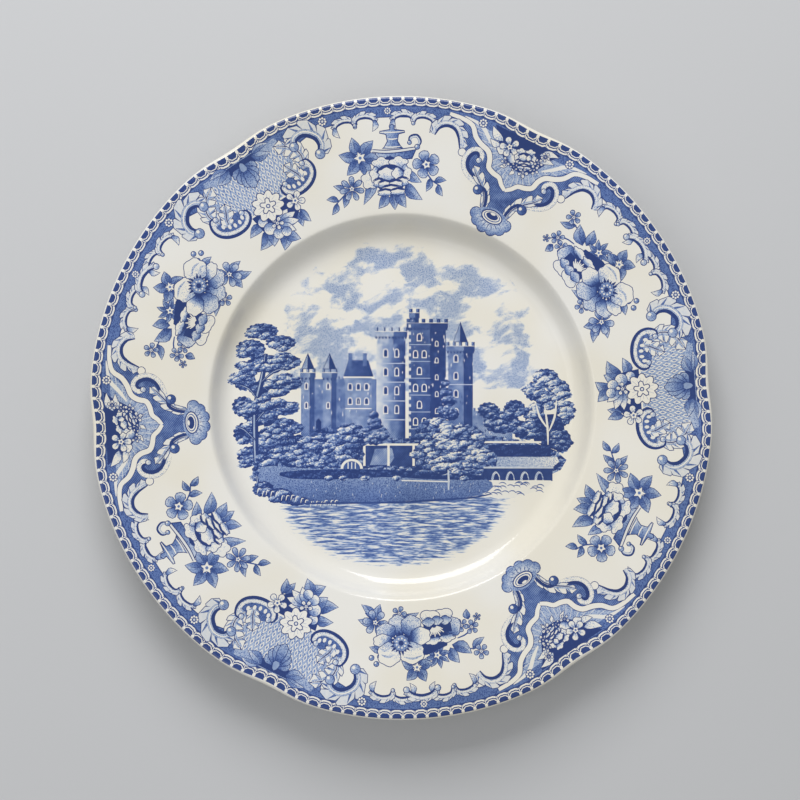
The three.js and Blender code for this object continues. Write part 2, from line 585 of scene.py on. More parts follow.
for turn in TURNS:
    spray_side, vase_side = spot(SPRAY_AXIS + turn), spot(VASE_AXIS + turn)
    running_scrolls(spray_side, ((-15.6, 116.6, -1), (-7.4, 117.2, 1), (7.2, 117.2, -1),
                                 (14.8, 116.8, 1)))
    running_scrolls(vase_side, ((-16.2, 117.2, -1), (-8.6, 117.8, 1), (5.6, 117.8, -1),
                                (13.2, 117.4, 1)))
    scroll(spray_side, ((-5.6, 115.0), (-3.2, 117.2), (0.4, 118.0), (4.0, 117.0), (6.0, 115.0)), 2.4,
           -1, 0.3, (1.4, 1.4), 4, 2.8)
    for side in (spray_side, vase_side):
        floret(side(0, 120.8), 1.4)
print("running scrolls laid,", len(sheet), "shapes so far")

# %% [markdown]
# The first large motif is a dark bracket that points to the middle of the plate and ends in a shell.
# Its halves mirror each other, so each is drawn by the same lines with across turned round. A white
# ribbon divides it, and a posy fills the nest at the edge.

# %% Shell cartouche
def fluted_shell(front, up):
    lobes = [(8.4 * sin(a), 86.4 - 5.4 * cos(a)) for a in (-1.35, 1.35, -0.85, 0.85, -0.3, 0.3)]
    for u, v in lobes:
        lay(oval(front(u, v), 2.6, count=14), 0.95)
    for u, v in lobes:
        ink = fade(front(u * 1.2, v - 2), front(u * 0.6, v + 2.4), 0.75, 0.15)
        lay(oval(front(u, v), 2.25, count=14), ink, STIPPLE)
    lay(oval(front(0, 86.2), 6.4, 3.4, up - pi / 2, count=18),
        fade(front(0, 82.6), front(0, 88), 0.3, 0.6), STIPPLE)
    for k in range(7):
        way = cmath.exp(1j * (up + pi + (k - 3) * 0.4))
        stroke([front(0, 86) + way * 3.0, front(0, 86) + way * 5.6], 0.36, 0.85, 0.9, steps=2)
    for wide, high, ink, lift in ((4.7, 2.9, 0.95, 0), (4.2, 2.4, 0.0, 0), (3.6, 2.0, 0.8, 0.1),
                                  (3.2, 1.7, 0.0, 0.2), (2.6, 1.4, 1.0, 0.3), (1.1, 0.45, 0.0, 1.2)):
        lay(oval(front(0, 86.1 + lift), high, wide, up, count=16), ink)


def posy(at, up):
    """Small flowers in a dark nest where the bracket meets the edge."""
    nest = ((-12.8, 122), (-10.4, 117.6), (-8.6, 113.6), (-5.4, 110.4), (-1, 108.4), (3.6, 107.8),
            (7, 110.2), (9.2, 114.6), (10.8, 118.4), (13, 122))
    lay(placed(at, nest), 1.0)
    for base, tip, wide in (((-8, 117), (-13.6, 121.2), 3.6), ((-8, 114.6), (-13.2, 115.8), 3),
                            ((6, 119), (13, 120.8), 3.2), ((6.4, 116), (12.8, 117.2), 3),
                            ((-3, 110), (-6.6, 106.4), 2), ((0, 109), (-1.4, 104.8), 2),
                            ((3, 109), (4.6, 105.4), 2)):
        lobe_leaf(at(*base), at(*tip), wide, 0.02, 0.45, 0.12)
    for u, v, size in ((8.4, 119.2, 2.1), (7.2, 115.6, 2.1), (7.0, 112.0, 2.2), (3.6, 108.9, 2.4),
                       (-4.4, 109.8, 2.1), (-0.6, 109.4, 1.8)):
        flower(at(u, v), size, 5, up + u, body=0.0, shade=0.3, heart=0.3)
    cup(at(-7.6, 113.4), 1.9, 2.2, up, 4, shade=0.75, shade_way=up)
    cup(at(-2.6, 112.8), 2.2, 2.8, up, 4, shade=0.8, shade_way=up + 2.2)
    flower(at(-5.2, 116.4), 4.3, 5, up + 0.6, body=0.0, shade=0.6, heart=0.34)
    rose(at(2.0, 115.0), 4.3, up + 0.3)


def shell_cartouche(axis):
    """Dark pointed bracket with a white ribbon, a leafy scroll each side, a shell and a posy."""
    front, up = spot(axis), radians(axis)
    side_line = ((30.5, 121.6), (28.2, 120.2), (25, 117), (23.2, 112), (21.6, 108), (20.8, 103.6),
                 (18.4, 99.4), (14.0, 96.6), (9.8, 95.4), (7.2, 93.4), (5.7, 90.2), (5.2, 87.0))
    field = placed(front, side_line) + placed(mirrored(front), reversed(side_line))
    lay(inset(field, -0.4), 1.0)
    lay(field, 0.74, HATCH)
    zone = ((29, 122), (19.5, 118.4), (15.2, 113), (11.0, 109.8), (9.8, 103.8), (4.2, 102.4),
            (0.0, 98.2))
    inner = placed(front, zone) + placed(mirrored(front), reversed(zone[:-1]))
    lay(curve(inner, 2, closed=True), 0.5, STIPPLE)
    ribbon = ((29.5, 121.2), (24.5, 120.2), (20.6, 118.4), (18.6, 114.6), (15.8, 112.2), (12.4, 110.6),
              (10.7, 107.8), (10.0, 104.4), (7.4, 102.8), (4.4, 102.0), (2.4, 99.6), (0.0, 98.0))
    for at in (front, mirrored(front)):
        side = 1 if at is front else -1
        path = curve(placed(at, ribbon), 3)
        for k in range(1, len(path) - 1):
            way = (at(1, 117) - path[k]) / abs(at(1, 117) - path[k])
            stroke([path[k] + way * 0.5, path[k] + way * (3.0 + (k * 5 % 3) * 1.2)], 0.9,
                   (0.75, 0.04, 0.4)[k % 3], 0.8, STIPPLE, 1)
        stroke(path[::3], 2.7, 0.95, 0.3)
        stroke(path[::3], 2.1, 0.0, 0.3)
        fold = ((24, 121.4), (17.4, 119.4), (13.4, 115.4), (9.8, 112.6))
        stroke(placed(at, fold), 1.6, 0.02, 0.8)
        # scroll by the edge, with a pointed beak and a leafy back
        scroll(at, ((34.6, 112.2), (33.0, 115.4), (29.8, 117.0), (26.4, 116.0), (24.2, 112.8),
                    (22.8, 108.4)), 2.8, side, 0.3, (0, 0), 5, 3.8)
        edged(oval(at(22.2, 107.0), 1.8, count=12), 0.95, 0.0, 0.28)
        # great scroll of the bracket
        volute = ((14.8, 105.6), (14.4, 107.6), (16.0, 109.2), (18.4, 108.2), (19.9, 105.2),
                  (19.6, 102.0), (17.4, 99.2), (13.6, 97.2), (10.0, 96.2))
        scroll(at, volute, 3.4, -side, 0.2, (1.3, 0))
        # white leaf running down to the shell
        reach = (1.0, 0.5) if side > 0 else (0.5, 1.0)
        run = ((6.4, 87.6), (7.2, 92.0), (10.0, 95.8), (13.6, 99.2), (15.8, 102.2))
        frond(placed(at, run), 5.6, 4, *reach)
        run = ((11, 95.7), (8.4, 95.2), (6.5, 93.0), (5.6, 90.0), (5.4, 87.2))
        stroke(placed(at, run), 1.3, 1.0, 0.2)
        knob(at(11.2, 94.2), 2.1, 0.75)
        floret(at(17.2, 120.6), 1.7)
    fluted_shell(front, up)
    posy(front, up)


for turn in TURNS:
    shell_cartouche(SHELL_AXIS + turn)
print("shell cartouches laid,", len(sheet), "shapes so far")

# %% [markdown]
# The second large motif is a panel of lattice held by leafy scrolls. A blue flower hangs into it from
# the edge, and a bunch of white flowers and berries lies over its inner side.

# %% Trellis cartouche
def bunch(at, up):
    """White flowers over leaves and berries."""
    for base, tip, wide, bend in (((-6, 93), (-15.4, 92.4), 4.4, -0.12),
                                  ((-7, 91), (-15.6, 86.0), 5.4, 0.2),
                                  ((-3, 89), (-8.8, 83.6), 5.2, -0.1),
                                  ((-1, 86.6), (-5.8, 79.8), 5.0, 0.14),
                                  ((0.6, 86.6), (5.2, 80.2), 5.0, -0.14),
                                  ((9.4, 91), (9.2, 84.0), 3.6, 0.08),
                                  ((12, 91), (14.2, 84.4), 3.8, -0.1)):
        leaf(at(*base), at(*tip), wide, bend, 0.34, 0.95)
    lay(placed(at, ((-9, 98), (9, 98), (13, 92), (6, 86.6), (-4, 86.6), (-8.5, 91))), 1.0)
    for tip in ((7.0, 93.6), (9.6, 91.0), (9.4, 87.2), (5.4, 84.0)):
        petal(at(-0.4, 90.2), at(*tip), 3.9, 0.02, shade=0.95, round_tip=False, line=0.95)
    for u, v, size in ((-6.2, 94.2, 2.2), (-5.2, 90.4, 2.7), (-3.0, 86.8, 2.4), (0.8, 85.8, 2.2)):
        ink = fade(at(u + 1, v + size), at(u - 1, v - size * 0.4), 0.9, 0.04)
        edged(oval(at(u, v), size, count=14), 0.95, ink, 0.28, STIPPLE)
    flower(at(-0.8, 90.6), 2.8, 5, up + 0.4, body=0.0, shade=0.4, heart=0.36)
    heart = at(0, 98.4)
    edged(oval(heart, 6.3, 6.1, 0.2, 9, 0.26, 36), 1.0, 0.0, 0.34)
    for k in range(18):
        way = cmath.exp(1j * 2 * pi * k / 18)
        stroke([heart + way * 2.7, heart + way * (4.2 + (k % 2) * 0.8)], 0.55, 0.5, 0.8, steps=1)
    edged(oval(heart, 3.0, 3.0, 0.5, 5, 0.55, 20), 1.0, 0.0, 0.36)
    lay(oval(heart, 0.95, count=8), 0.9)
    lay(oval(heart, 0.55, count=6), 0.05)
    flower(at(11.6, 94.8), 4.2, 5, up + 0.4, body=0.0, shade=0.45, heart=0.4)


def trellis_cartouche(axis):
    """Lattice panel between two leafy scrolls, with a flower hanging over it and a bunch below."""
    front, up = spot(axis), radians(axis)
    panel = ((-15, 121.6), (-18, 112), (-17, 104), (-9, 98.8), (0, 98), (9, 98.8), (17, 104), (18, 112),
             (15, 121.6))
    lay(placed(front, panel), 0.5, STIPPLE)
    for k in range(-8, 9):
        for j in range(6):
            u, v = k * 2.0 + (j % 2) * 1.0, 100.2 + j * 3.3
            if abs(u) < 16.4:
                lay([front(u, v + 1.9), front(u + 0.74, v), front(u, v - 1.9), front(u - 0.74, v)], 0.0)
                lay([front(u, v + 1.1), front(u + 0.4, v), front(u, v - 1.1), front(u - 0.4, v)], 0.5)
    # flower that hangs from the edge, between two light leaves
    lay(placed(front, ((-6.4, 122), (-5.4, 118.4), (0, 116.6), (5.4, 118.4), (6.4, 122))), 0.98)
    for s in (1, -1):
        leaf(front(4.6 * s, 121.4), front(11.6 * s, 117.6), 4.6, -0.1 * s, 0.34, 0.8)
        leaf(front(5 * s, 121.8), front(12.6 * s, 121.2), 3.0, 0.1 * s, 0.3, 0.75)
    for tilt, length, wide in ((2.0, 6.0, 4.4), (-2.0, 6.0, 4.4), (2.5, 7.2, 4.4), (-2.5, 7.2, 4.4),
                               (2.86, 8.6, 4.4), (-2.86, 8.6, 4.4), (3.14, 9.8, 4.2)):
        way = cmath.exp(1j * (up + tilt))
        petal(front(0, 119.8), front(0, 119.8) + way * length, wide, 0.5, shade=1.0, line=1.0)
    lay(oval(front(0, 119.4), 1.9, 1.3, up, 3, 0.3, 10), 0.4)
    for at in (front, mirrored(front)):
        side = 1 if at is front else -1
        reach = (1.0, 0.8) if side > 0 else (0.8, 1.0)
        lay(placed(at, ((21.6, 108), (23.6, 104), (21, 99.6), (14, 98), (9.6, 100),
                                   (12, 104), (17, 106))), 0.85, STIPPLE)
        frond(placed(at, ((20.6, 105), (21.8, 110), (19.6, 114.8), (14.4, 118.0))), 7.4, 5,
              *reach)
        frond(placed(at, ((18.4, 101.4), (17.6, 104), (15.8, 106.6), (14.4, 109.0))), 5.4, 3)
        frame_path = ((20.8, 107.4), (22.6, 107.6), (24.0, 105.0), (23.6, 101.8), (21.0, 99.0),
                      (17.0, 97.4), (12.8, 97.4), (9.8, 99.2), (9.4, 101.6), (11.0, 102.6))
        scroll(at, frame_path, 2.9, side, 0.25, (1.3, 1.3))
        for u, v in ((20.6, 103.2), (18.6, 101.4), (16.4, 100.4), (14.0, 100.2), (12.0, 101.0)):
            lay(oval(at(u, v), 1.0, 0.7, up, count=8), 0.02)
        scroll(at, ((29.0, 108.4), (30.4, 112), (29.2, 115.8), (25.4, 118.4), (21.8, 117.6),
                    (20.4, 114.6)), 3.4, side, 0.42, (2.2, 2.1), 5, 5.6)
        floret(at(33.2, 120.6), 1.7)
    bunch(front, up)


for turn in TURNS:
    trellis_cartouche(TRELLIS_AXIS + turn)
print("trellis cartouches laid,", len(sheet), "shapes so far")

# %% [markdown]
# Between the cartouches the glaze is left bare, with one free spray in each space. Every other one is
# a vase of flowers: a footed cup over a tray, almost hidden by a rose, with lighter flowers at the
# sides.

# %% Vase of flowers
def spray_leaves(at, twigs, light=0.36, dark=0.92):
    for base, tip, wide, bend in twigs:
        leaf(at(*base), at(*tip), wide, bend, light, dark)


def stem(at, path, width=0.6):
    stroke(placed(at, path), width, 0.85, 0.3)


def vase(at):
    """A little footed vase over a shallow tray, half hidden by the flowers."""
    profile = ((0, 115.6), (1.2, 114.8), (1.0, 113.4), (4.8, 112.9), (5.0, 111.9), (2.6, 111.2),
               (2.2, 108.6), (3.4, 106.6), (4.4, 105.6))
    outline = [at(1.4 + u, v) for u, v in profile] + [at(1.4 - u, v) for u, v in reversed(profile[1:])]
    lay(outline, 1.0)
    lay(inset(outline, 0.35), fade(at(-2.6, 110), at(5.6, 110), 0.3, 0.98), STIPPLE)
    for wide, v in ((4.6, 112.4), (2.0, 109.6), (3.2, 106.4)):
        stroke([at(1.4 - wide, v), at(1.4, v - 0.3), at(1.4 + wide, v)], 0.5, 0.0, 0.5, steps=2)
    tray = placed(at, ((-6.6, 105.4), (11.4, 106.0), (9.6, 101.4), (-4.8, 100.8)))
    lay(tray, 1.0)
    lay(inset(tray, 0.4), fade(at(-6, 102), at(10, 102), 0.35, 0.9), STIPPLE)
    rim = placed(at, ((-7.0, 105.2), (-2, 104.4), (4, 104.6), (11.8, 106)))
    stroke(rim, 1.7, 1.0, 0.2)
    stroke(rim, 0.9, 0.05, 0.2)
    scroll(at, ((11.4, 106.4), (12.4, 108.6), (11.0, 110.8), (8.6, 110.2), (8.2, 108.0)), 1.6, -1, 0.4,
           (1.2, 1.0))


def vase_of_flowers(axis):
    at, up = spot(axis), radians(axis)
    vase(at)
    stem(at, ((15, 98), (19, 93.6), (23.4, 91.8)))
    stem(at, ((-16, 94), (-22, 90), (-28, 87)))
    spray_leaves(at, (((-8, 98), (-14.6, 84.0), 5.0, 0.1), ((-2, 88), (-7.2, 81.6), 4.4, 0.1),
                      ((1, 88), (1.6, 80.6), 4.0, 0), ((4, 89), (7.6, 81.6), 4.8, -0.12),
                      ((7, 92), (15.8, 85.2), 5.0, -0.14), ((7, 97), (14.6, 92.2), 4.2, -0.1),
                      ((18.2, 94.4), (17.0, 88.6), 3.0, 0.1), ((20, 93), (25.8, 94.4), 2.8, 0.12),
                      ((22, 92.2), (25.4, 87.8), 3.0, -0.1), ((-21.6, 90.6), (-26.8, 94.4), 2.8, -0.1),
                      ((-22.4, 90), (-24.6, 84.6), 3.0, 0.12), ((-26, 88), (-31.8, 90), 2.8, -0.1),
                      ((-27, 87.4), (-31.6, 83.4), 2.8, 0.1)))
    star_flower(at(-12.4, 103.0), 9.0, 6, up + 0.35, body=0.4)
    flower(at(15.8, 99.6), 5.8, 5, up + 0.2, body=0.36, shade=1.0, heart=0.32, wide=0.78)
    flower(at(-18.6, 91.4), 5.2, 7, up, body=0.4, shade=0.95, heart=0.24)
    cup(at(-9.6, 93.6), 3.8, 3.6, up, 5, body=0.02, shade=0.6, shade_way=up - 1.4)
    rose(at(0, 94.4), 8.0, up)


for turn in TURNS:
    vase_of_flowers(VASE_AXIS + turn)
print("vases laid,", len(sheet), "shapes so far")

# %% [markdown]
# The other sprays have no vase. A peony and an anemone lie side by side over their leaves, and small
# flowers on thin stems carry the spray out to both ends.

# %% Flower spray
def peony(at, up):
    """Half-open: a frilled heart and pale stamens over two rows of cupped petals."""
    down = up + pi
    cup(at(-15.8, 91.6), 4.2, 3.6, up + 0.5, 4, body=0.3, shade=1.0, shade_way=up - 0.6)
    cup(at(-12.6, 87.0), 3.2, 4.0, up + 0.1, 3, body=0.0, shade=1.0, shade_way=up)
    cup(at(-6.2, 86.8), 3.2, 4.0, up - 0.1, 3, body=0.0, shade=1.0, shade_way=up)
    lay(placed(at, ((-15.4, 93.8), (-2.4, 93.4), (-2.6, 88.6), (-6, 87.4), (-9.4, 88.4),
                               (-12.6, 87.6), (-15.6, 89.4))), 1.0)
    for u, v, wide in ((-13.2, 88.9, 2.6), (-9.2, 88.5, 2.6), (-5.2, 88.7, 2.6)):
        cup(at(u, v), 1.9, wide, up, 4, body=0.3, shade=0.9, shade_way=down)
    for k in range(9):
        way = cmath.exp(1j * (up + (k - 4) * 0.22 + 0.25))
        stroke([at(-7.6, 90.2) + way, at(-7.6, 90.2) + way * (3.8 + k % 2)], 0.62, 0.02, 0.5, steps=2)
    for u, v, wide, high in ((-12.4, 96.2, 3.6, 1.7), (-6.4, 96.4, 3.4, 1.6)):
        cup(at(u, v), high, wide, up + 0.16, 5, shade=0.8, shade_way=down)


def anemone(at, up):
    """Broad white petals round a spiky dark heart, over blue cupped ones."""
    for u, v, high, wide, way, body in ((9.6, 89.2, 4.2, 3.9, up, 0.3),
                                        (3.2, 89.6, 4.4, 4.4, up - 0.6, 0.3),
                                        (15.0, 92.0, 3.4, 4.2, up + 0.8, 0.3),
                                        (16.2, 95.8, 2.8, 4.0, up + 0.9, 0.02),
                                        (-0.8, 93.8, 3.7, 4.3, up - 1.6, 0.02),
                                        (3.4, 100.4, 4.5, 5.2, up + 3.2, 0.0),
                                        (13.0, 101.0, 4.9, 4.9, up + 2.6, 0.0)):
        cup(at(u, v), high, wide, up, 6, body=body, shade=1.0 if body else 0.5, shade_way=way,
            depth=0.16)
    for u, v, wide in ((3.0, 102.2, 4.0), (13.4, 101.6, 3.0), (15.0, 99.2, 2.0)):
        stroke([at(u - wide, v - 0.7), at(u, v + 0.5), at(u + wide, v - 0.3)], 0.9, 0.4, 0.9, STIPPLE)
    heart = at(8, 96.4)
    for k in range(18):
        way = cmath.exp(1j * 2 * pi * k / 18)
        stroke([heart + way * 1.8, heart + way * (4.1 + (k * 7 % 3) * 0.5)], 1.15, 1.0, 0.9, steps=2)
    lay(oval(heart, 3.0, 3.0, 0, 9, 0.3, 20), 0.65, STIPPLE)
    for k in range(9):
        lay(oval(heart + cmath.rect(1.9, 0.7 * k), 0.42, count=6), 0.05)
    lay(oval(heart, 1.1, count=8), 1.0)


def flower_spray(axis):
    at, up = spot(axis), radians(axis)
    stem(at, ((-17, 97), (-22, 96), (-27, 92)))
    stem(at, ((-16, 99), (-20, 102), (-23, 102.6)))
    stem(at, ((16, 90), (22, 88), (26, 85.6)))
    spray_leaves(at, (((-14, 99), (-21.4, 104.4), 5.2, 0.1), ((-13, 100), (-15.6, 106.8), 4.6, -0.1),
                      ((15, 99), (21.8, 98.8), 3.4, 0.1), ((20, 88.6), (29, 88.8), 3.6, 0.1),
                      ((20.6, 88), (28.8, 82.6), 3.8, -0.1), ((19.4, 87.4), (19.0, 81.2), 3.8, 0.1),
                      ((-22, 103), (-28.4, 99.6), 3.2, 0.1), ((-24, 91), (-24.6, 86.6), 3.2, 0.1),
                      ((8, 86), (-1.2, 84.4), 2.8, -0.1), ((6.4, 85.4), (1.6, 87.0), 2.2, 0)))
    for u, v, size in ((-25.2, 104.6, 3.2), (-24.4, 94.2, 3.0), (-20.2, 92.4, 2.8), (-28.2, 91.0, 1.7),
                       (9.0, 84.6, 3.1)):
        flower(at(u, v), size, 5, up + u, body=0.4, shade=0.9, heart=0.3)
    for u, v in ((18, 105.2), (16.8, 102.2), (20.2, 103)):
        knob(at(u, v), 1.2, 0.5)
    star_flower(at(-7.2, 102.2), 5.6, 8, up + 0.2, body=0.42, heart=0.3)
    lay(placed(at, ((-12, 99), (-3, 101.6), (4, 101.4), (9, 96), (4, 90), (-14, 92))), 1.0)
    star_flower(at(1.6, 106.2), 6.8, 5, up + 0.5, body=0.44, heart=0.28)
    flower(at(20.4, 88.8), 5.3, 6, up + 0.3, body=0.36, shade=1.0, heart=0.24)
    peony(at, up)
    anemone(at, up)


for turn in TURNS:
    flower_spray(SPRAY_AXIS + turn)
print("border finished:", len(sheet), "shapes")

# %% [markdown]
# The middle of the plate has a view: a castle above a garden and a river. It is built from the back to
# the front, as scenery on a stage, so that each layer hides the foot of the one behind. The stones'
# dabs are uneven, but the same each time, because they come from a formula and not from chance.

# %% Scenery tools
def shape(*pairs):
    return [complex(*p) for p in pairs]


def block(left, low, right, high, ink, grain=WASH):
    lay(shape((left, low), (right, low), (right, high), (left, high)), ink, grain)


def line(pairs, width, ink, taper=0.0, grain=WASH):
    stroke(shape(*pairs), width, ink, taper, grain)


def chance(seed):
    """The same run of uneven numbers between 0 and 1 every time, for hand-made irregularity."""
    k = 0
    while True:
        k += 1
        yield (sin(k * 12.9898 + seed * 78.233) * 43758.5453) % 1


print("first uneven numbers:", [round(next(draw), 2) for draw in (chance(1), chance(2))])

# %% [markdown]
# Each tower is a lit side and a shaded side, with corbels under its parapet, battlements on top, and
# windows in pale stone frames. Short dabs weather the walls.

# %% Parts of a castle
def window(x, y, wide, high, dark=0.95, frame=0.4, round_top=True):
    """A dark opening in a pale stone surround."""
    for grow, ink in ((frame, 0.0), (0.0, dark)):
        half, low, top = wide / 2 + grow, y - high / 2 - grow, y + high / 2 + grow
        head = [(x + half * cos(a), top - half + half * sin(a))
                for a in (0, 0.8, 1.57, 2.34, pi)] if round_top else [(x + half, top), (x - half, top)]
        lay(shape((x - half, low), (x + half, low), *head), ink)


def battlements(left, right, foot, count, high, light, dark):
    """A row of merlons, each with its own shaded side."""
    pitch = (right - left) / (2 * count - 1)
    for k in range(count):
        x = left + 2 * k * pitch
        block(x, foot - 0.1, x + pitch, foot + high, light, HATCH)
        block(x + pitch * 0.62, foot - 0.1, x + pitch, foot + high, dark)


def weathering(left, low, right, high, count, seed):
    """Short upright dabs, some dark and some bare, as ivy and rain leave on old stone."""
    uneven = chance(seed)
    for k in range(count):
        x = left + (right - left) * next(uneven)
        y = low + (high - low) * next(uneven)
        tall = 0.5 + 1.6 * next(uneven)
        wide = 0.12 + 0.16 * next(uneven)
        ink = (0.95, 0.06, 0.8)[k % 3]
        lay(shape((x, y), (x + wide, y + tall / 2), (x, y + tall), (x - wide, y + tall / 2)), ink)


def tower(left, right, foot, top, light, dark, merlons=4, overhang=0.8, side=0.3, seed=1, dabs=20):
    """A battlemented tower lit from the left, with a parapet that stands out on corbels."""
    turn = left + (right - left) * (1 - side)
    body = fade(complex(left, top), complex(turn, foot), light, light + 0.16)
    lay(shape((left, foot), (turn, foot), (turn, top), (left, top)), body, HATCH)
    block(turn, foot, right, top, dark, HATCH)
    block(turn - 0.12, foot, turn + 0.12, top, 1.0)
    weathering(left, foot, right, top - 2, dabs, seed)
    parapet = top - 2.4
    block(left - overhang, parapet, right + overhang, top, light + 0.06, HATCH)
    block(turn, parapet, right + overhang, top, dark, HATCH)
    block(left - overhang, top - 0.3, right + overhang, top, 0.0)
    corbels = int((right - left + 2 * overhang) / 1.3)
    for k in range(corbels):
        x = left - overhang + (k + 0.3) * (right - left + 2 * overhang) / corbels
        lay(shape((x, parapet - 0.9), (x + 0.6, parapet - 0.9), (x + 0.75, parapet + 0.1),
                  (x - 0.15, parapet + 0.1)), 0.95)
    battlements(left - overhang, right + overhang, top, merlons, 1.5, light + 0.06, dark + 0.1)


def pointed_roof(left, right, foot, top, light=0.4, dark=0.98):
    middle = (left + right) / 2
    lay(shape((left, foot), (right, foot), (middle, top)), dark)
    lay(shape((left + 0.3, foot + 0.25), (middle - 0.2, foot + 0.25), (middle - 0.1, top - 1)), light,
        HATCH)


def clump(x, y, wide, high, tone, turn=0.0):
    """One rounded mass of leaves, pale on its crown and dark beneath."""
    centre = complex(x, y)
    ink = fade(centre + complex(-0.35 * wide, 0.85 * high), centre + complex(0.3 * wide, -0.9 * high),
               tone - 0.28, tone + 0.38)
    lay(oval(centre, wide, high, turn, 11, 0.2, 34), ink, LEAFAGE)
    low = [centre + complex(wide * 0.86 * cos(a), high * 0.86 * sin(a)) for a in (3.5, 4.2, 4.9, 5.7)]
    stroke(low, high * 0.3, 0.98, 0.9, LEAFAGE)


print("a tower's parts:", [part.__name__ for part in (tower, battlements, window, pointed_roof)])

# %% [markdown]
# The sky is one large shape whose clouds the glaze draws later. The castle stands in front of it, from
# left to right a gatehouse with two turrets, a hall, a round tower, the great keep, and another round
# tower at the water's end. Ivy grows over the joints.

# %% Castle
def sky():
    lay(curve([complex(60 * cos(a), 14 + 60 * sin(a)) for a in np.linspace(-0.1, pi + 0.1, 18)], 2,
              closed=True), 0.4, CLOUD)


def castle():
    # gatehouse with two pointed turrets, and the wall that runs back from it
    block(-41, -14, -8, 11.5, 0.62, HATCH)
    battlements(-30, -22, 11.5, 5, 1.2, 0.5, 0.9)
    weathering(-41, -12, -20, 11, 50, 3)
    for left in (-41.6, -32.6):
        tower(left, left + 5.6, -14, 14.4, 0.42, 0.86, 3, 0.4, 0.34, left, 12)
        pointed_roof(left, left + 5.6, 15.6, 22.4)
        window(left + 2.2, 8.6, 0.8, 2.2)
        window(left + 2.2, 0.6, 0.8, 2.2)
    lay(shape((-35.4, -14), (-33.2, -14), (-33.2, -6), (-34.3, -4.6), (-35.4, -6)), 1.0)
    # hall with a steep roof and a row of windows
    block(-23.4, -14, -12.4, 12.6, 0.5, HATCH)
    lay(shape((-24.2, 12.4), (-11.6, 12.4), (-13.8, 19.4), (-22.0, 19.4)),
        fade(-24 + 19j, -12 + 12j, 0.75, 1.0), HATCH)
    block(-24.2, 12.0, -11.6, 12.6, 0.0)
    for x in (-21.2, -15.2):
        block(x - 0.8, 17, x + 0.8, 22.6, 0.66, HATCH)
        block(x - 1.0, 22.3, x + 1.0, 22.9, 0.1)
    for y in (8.4, 2.4):
        for x in (-21.3, -17.9, -14.5):
            window(x, y, 1.3, 2.4)
    block(-23.4, -0.9, -12.4, -0.5, 0.0)
    weathering(-23, -12, -12.6, 12, 26, 5)
    # round tower, pale where the light falls, behind a bay of tall windows
    lay(shape((-10.4, -14), (1.6, -14), (1.6, 27.6), (-10.4, 27.6)),
        fade(-10.4 + 0j, 1.6 + 0j, 0.06, 1.0), HATCH)
    tower(-10, 1.2, 26, 31.6, 0.24, 0.8, 5, 1.2, 0.4, 7, 6)
    weathering(-4, 2, 1.4, 26, 26, 8)
    for y in (22.4, 14.6, 6.8, -1):
        block(-10.4, y - 4.5, 1.6, y - 4.1, 0.2)
        window(-6.6, y, 1.4, 3.0)
        window(-2.0, y, 1.2, 3.0)
    # great keep
    tower(3.0, 18.4, -14, 35.2, 0.74, 0.98, 6, 0.9, 0.42, 11, 120)
    tower(3.4, 7.2, 35, 39.4, 0.6, 0.98, 2, 0.3, 0.4, 12, 2)
    for k, y in enumerate((29, 22, 15, 8, 1, -6)):
        for x in (5.8, 9.4) if k % 2 else (7.4,):
            window(x, y, 1.4, 2.6)
        window(14.6, y - 2.6, 0.9, 1.8, frame=0.3)
        block(3.0, y - 3.2, 12, y - 2.9, 0.25)
    for y in range(-12, 34, 3):
        block(2.9, y, 3.9, y + 1.3, 0.08)
    # round tower at the water's end with a pointed cap
    tower(19.4, 29.6, -12, 25.6, 0.5, 0.95, 5, 0.8, 0.36, 17, 50)
    pointed_roof(21.4, 27.6, 27, 35.6)
    for y in (20.2, 13, 5.6, -2):
        window(22.6, y, 1.3, 2.6)
    block(19.4, 9.2, 29.6, 9.5, 0.15)
    # low wall running down to the trees
    block(29.4, -14, 46, -1.6, 0.5, HATCH)
    battlements(29.4, 46, -1.6, 7, 1.2, 0.42, 0.85)
    weathering(29.6, -12, 45, -2, 26, 19)
    # ivy
    for x, y, wide in ((18.6, 6, 2.6), (19.6, 2.6, 3.0), (17.8, -1.4, 3.0), (20.6, -3, 3.2),
                       (18.2, 10, 1.8), (-11.6, -3.4, 2.2), (-11.2, -6.4, 3.0)):
        clump(x, y, wide, wide * 0.8, 0.66)


sky()
castle()
print("castle built:", len(sheet), "shapes so far")

# %% [markdown]
# Trees are heaps of rounded tufts, laid from the top down so that each lower tuft overlaps the one
# above. A tuft is pale on its crown and dark beneath. Trunks and boughs show in the gaps.

# %% Trees
def foliage(masses, tone, size, seed, lean=0.0):
    """Fills rounded masses with clumps of leaves, laid from the top down."""
    uneven = chance(seed)
    clumps = []
    for x, y, wide, high in masses:
        lay(oval(complex(x, y), wide, high, 0, 13, 0.16, 40), tone + 0.3, LEAFAGE)
        for k in range(max(int(wide * high / size ** 2 * 2.1), 3)):
            far, turn = next(uneven) ** 0.5 * 0.86, 2 * pi * next(uneven)
            clumps.append((y + high * far * sin(turn), x + wide * far * cos(turn),
                           size * (0.7 + 0.5 * next(uneven))))
    for y, x, wide in sorted(clumps, reverse=True):
        clump(x, y, wide, wide * 0.5, tone, lean)


def trunk(points, width):
    """A trunk or branch that narrows upwards, dark with a lit left edge."""
    stroke(shape(*points), width, 0.98, 0.5)
    stroke([complex(x - width * 0.16, y) for x, y in points], width * 0.26, 0.3, 0.8)


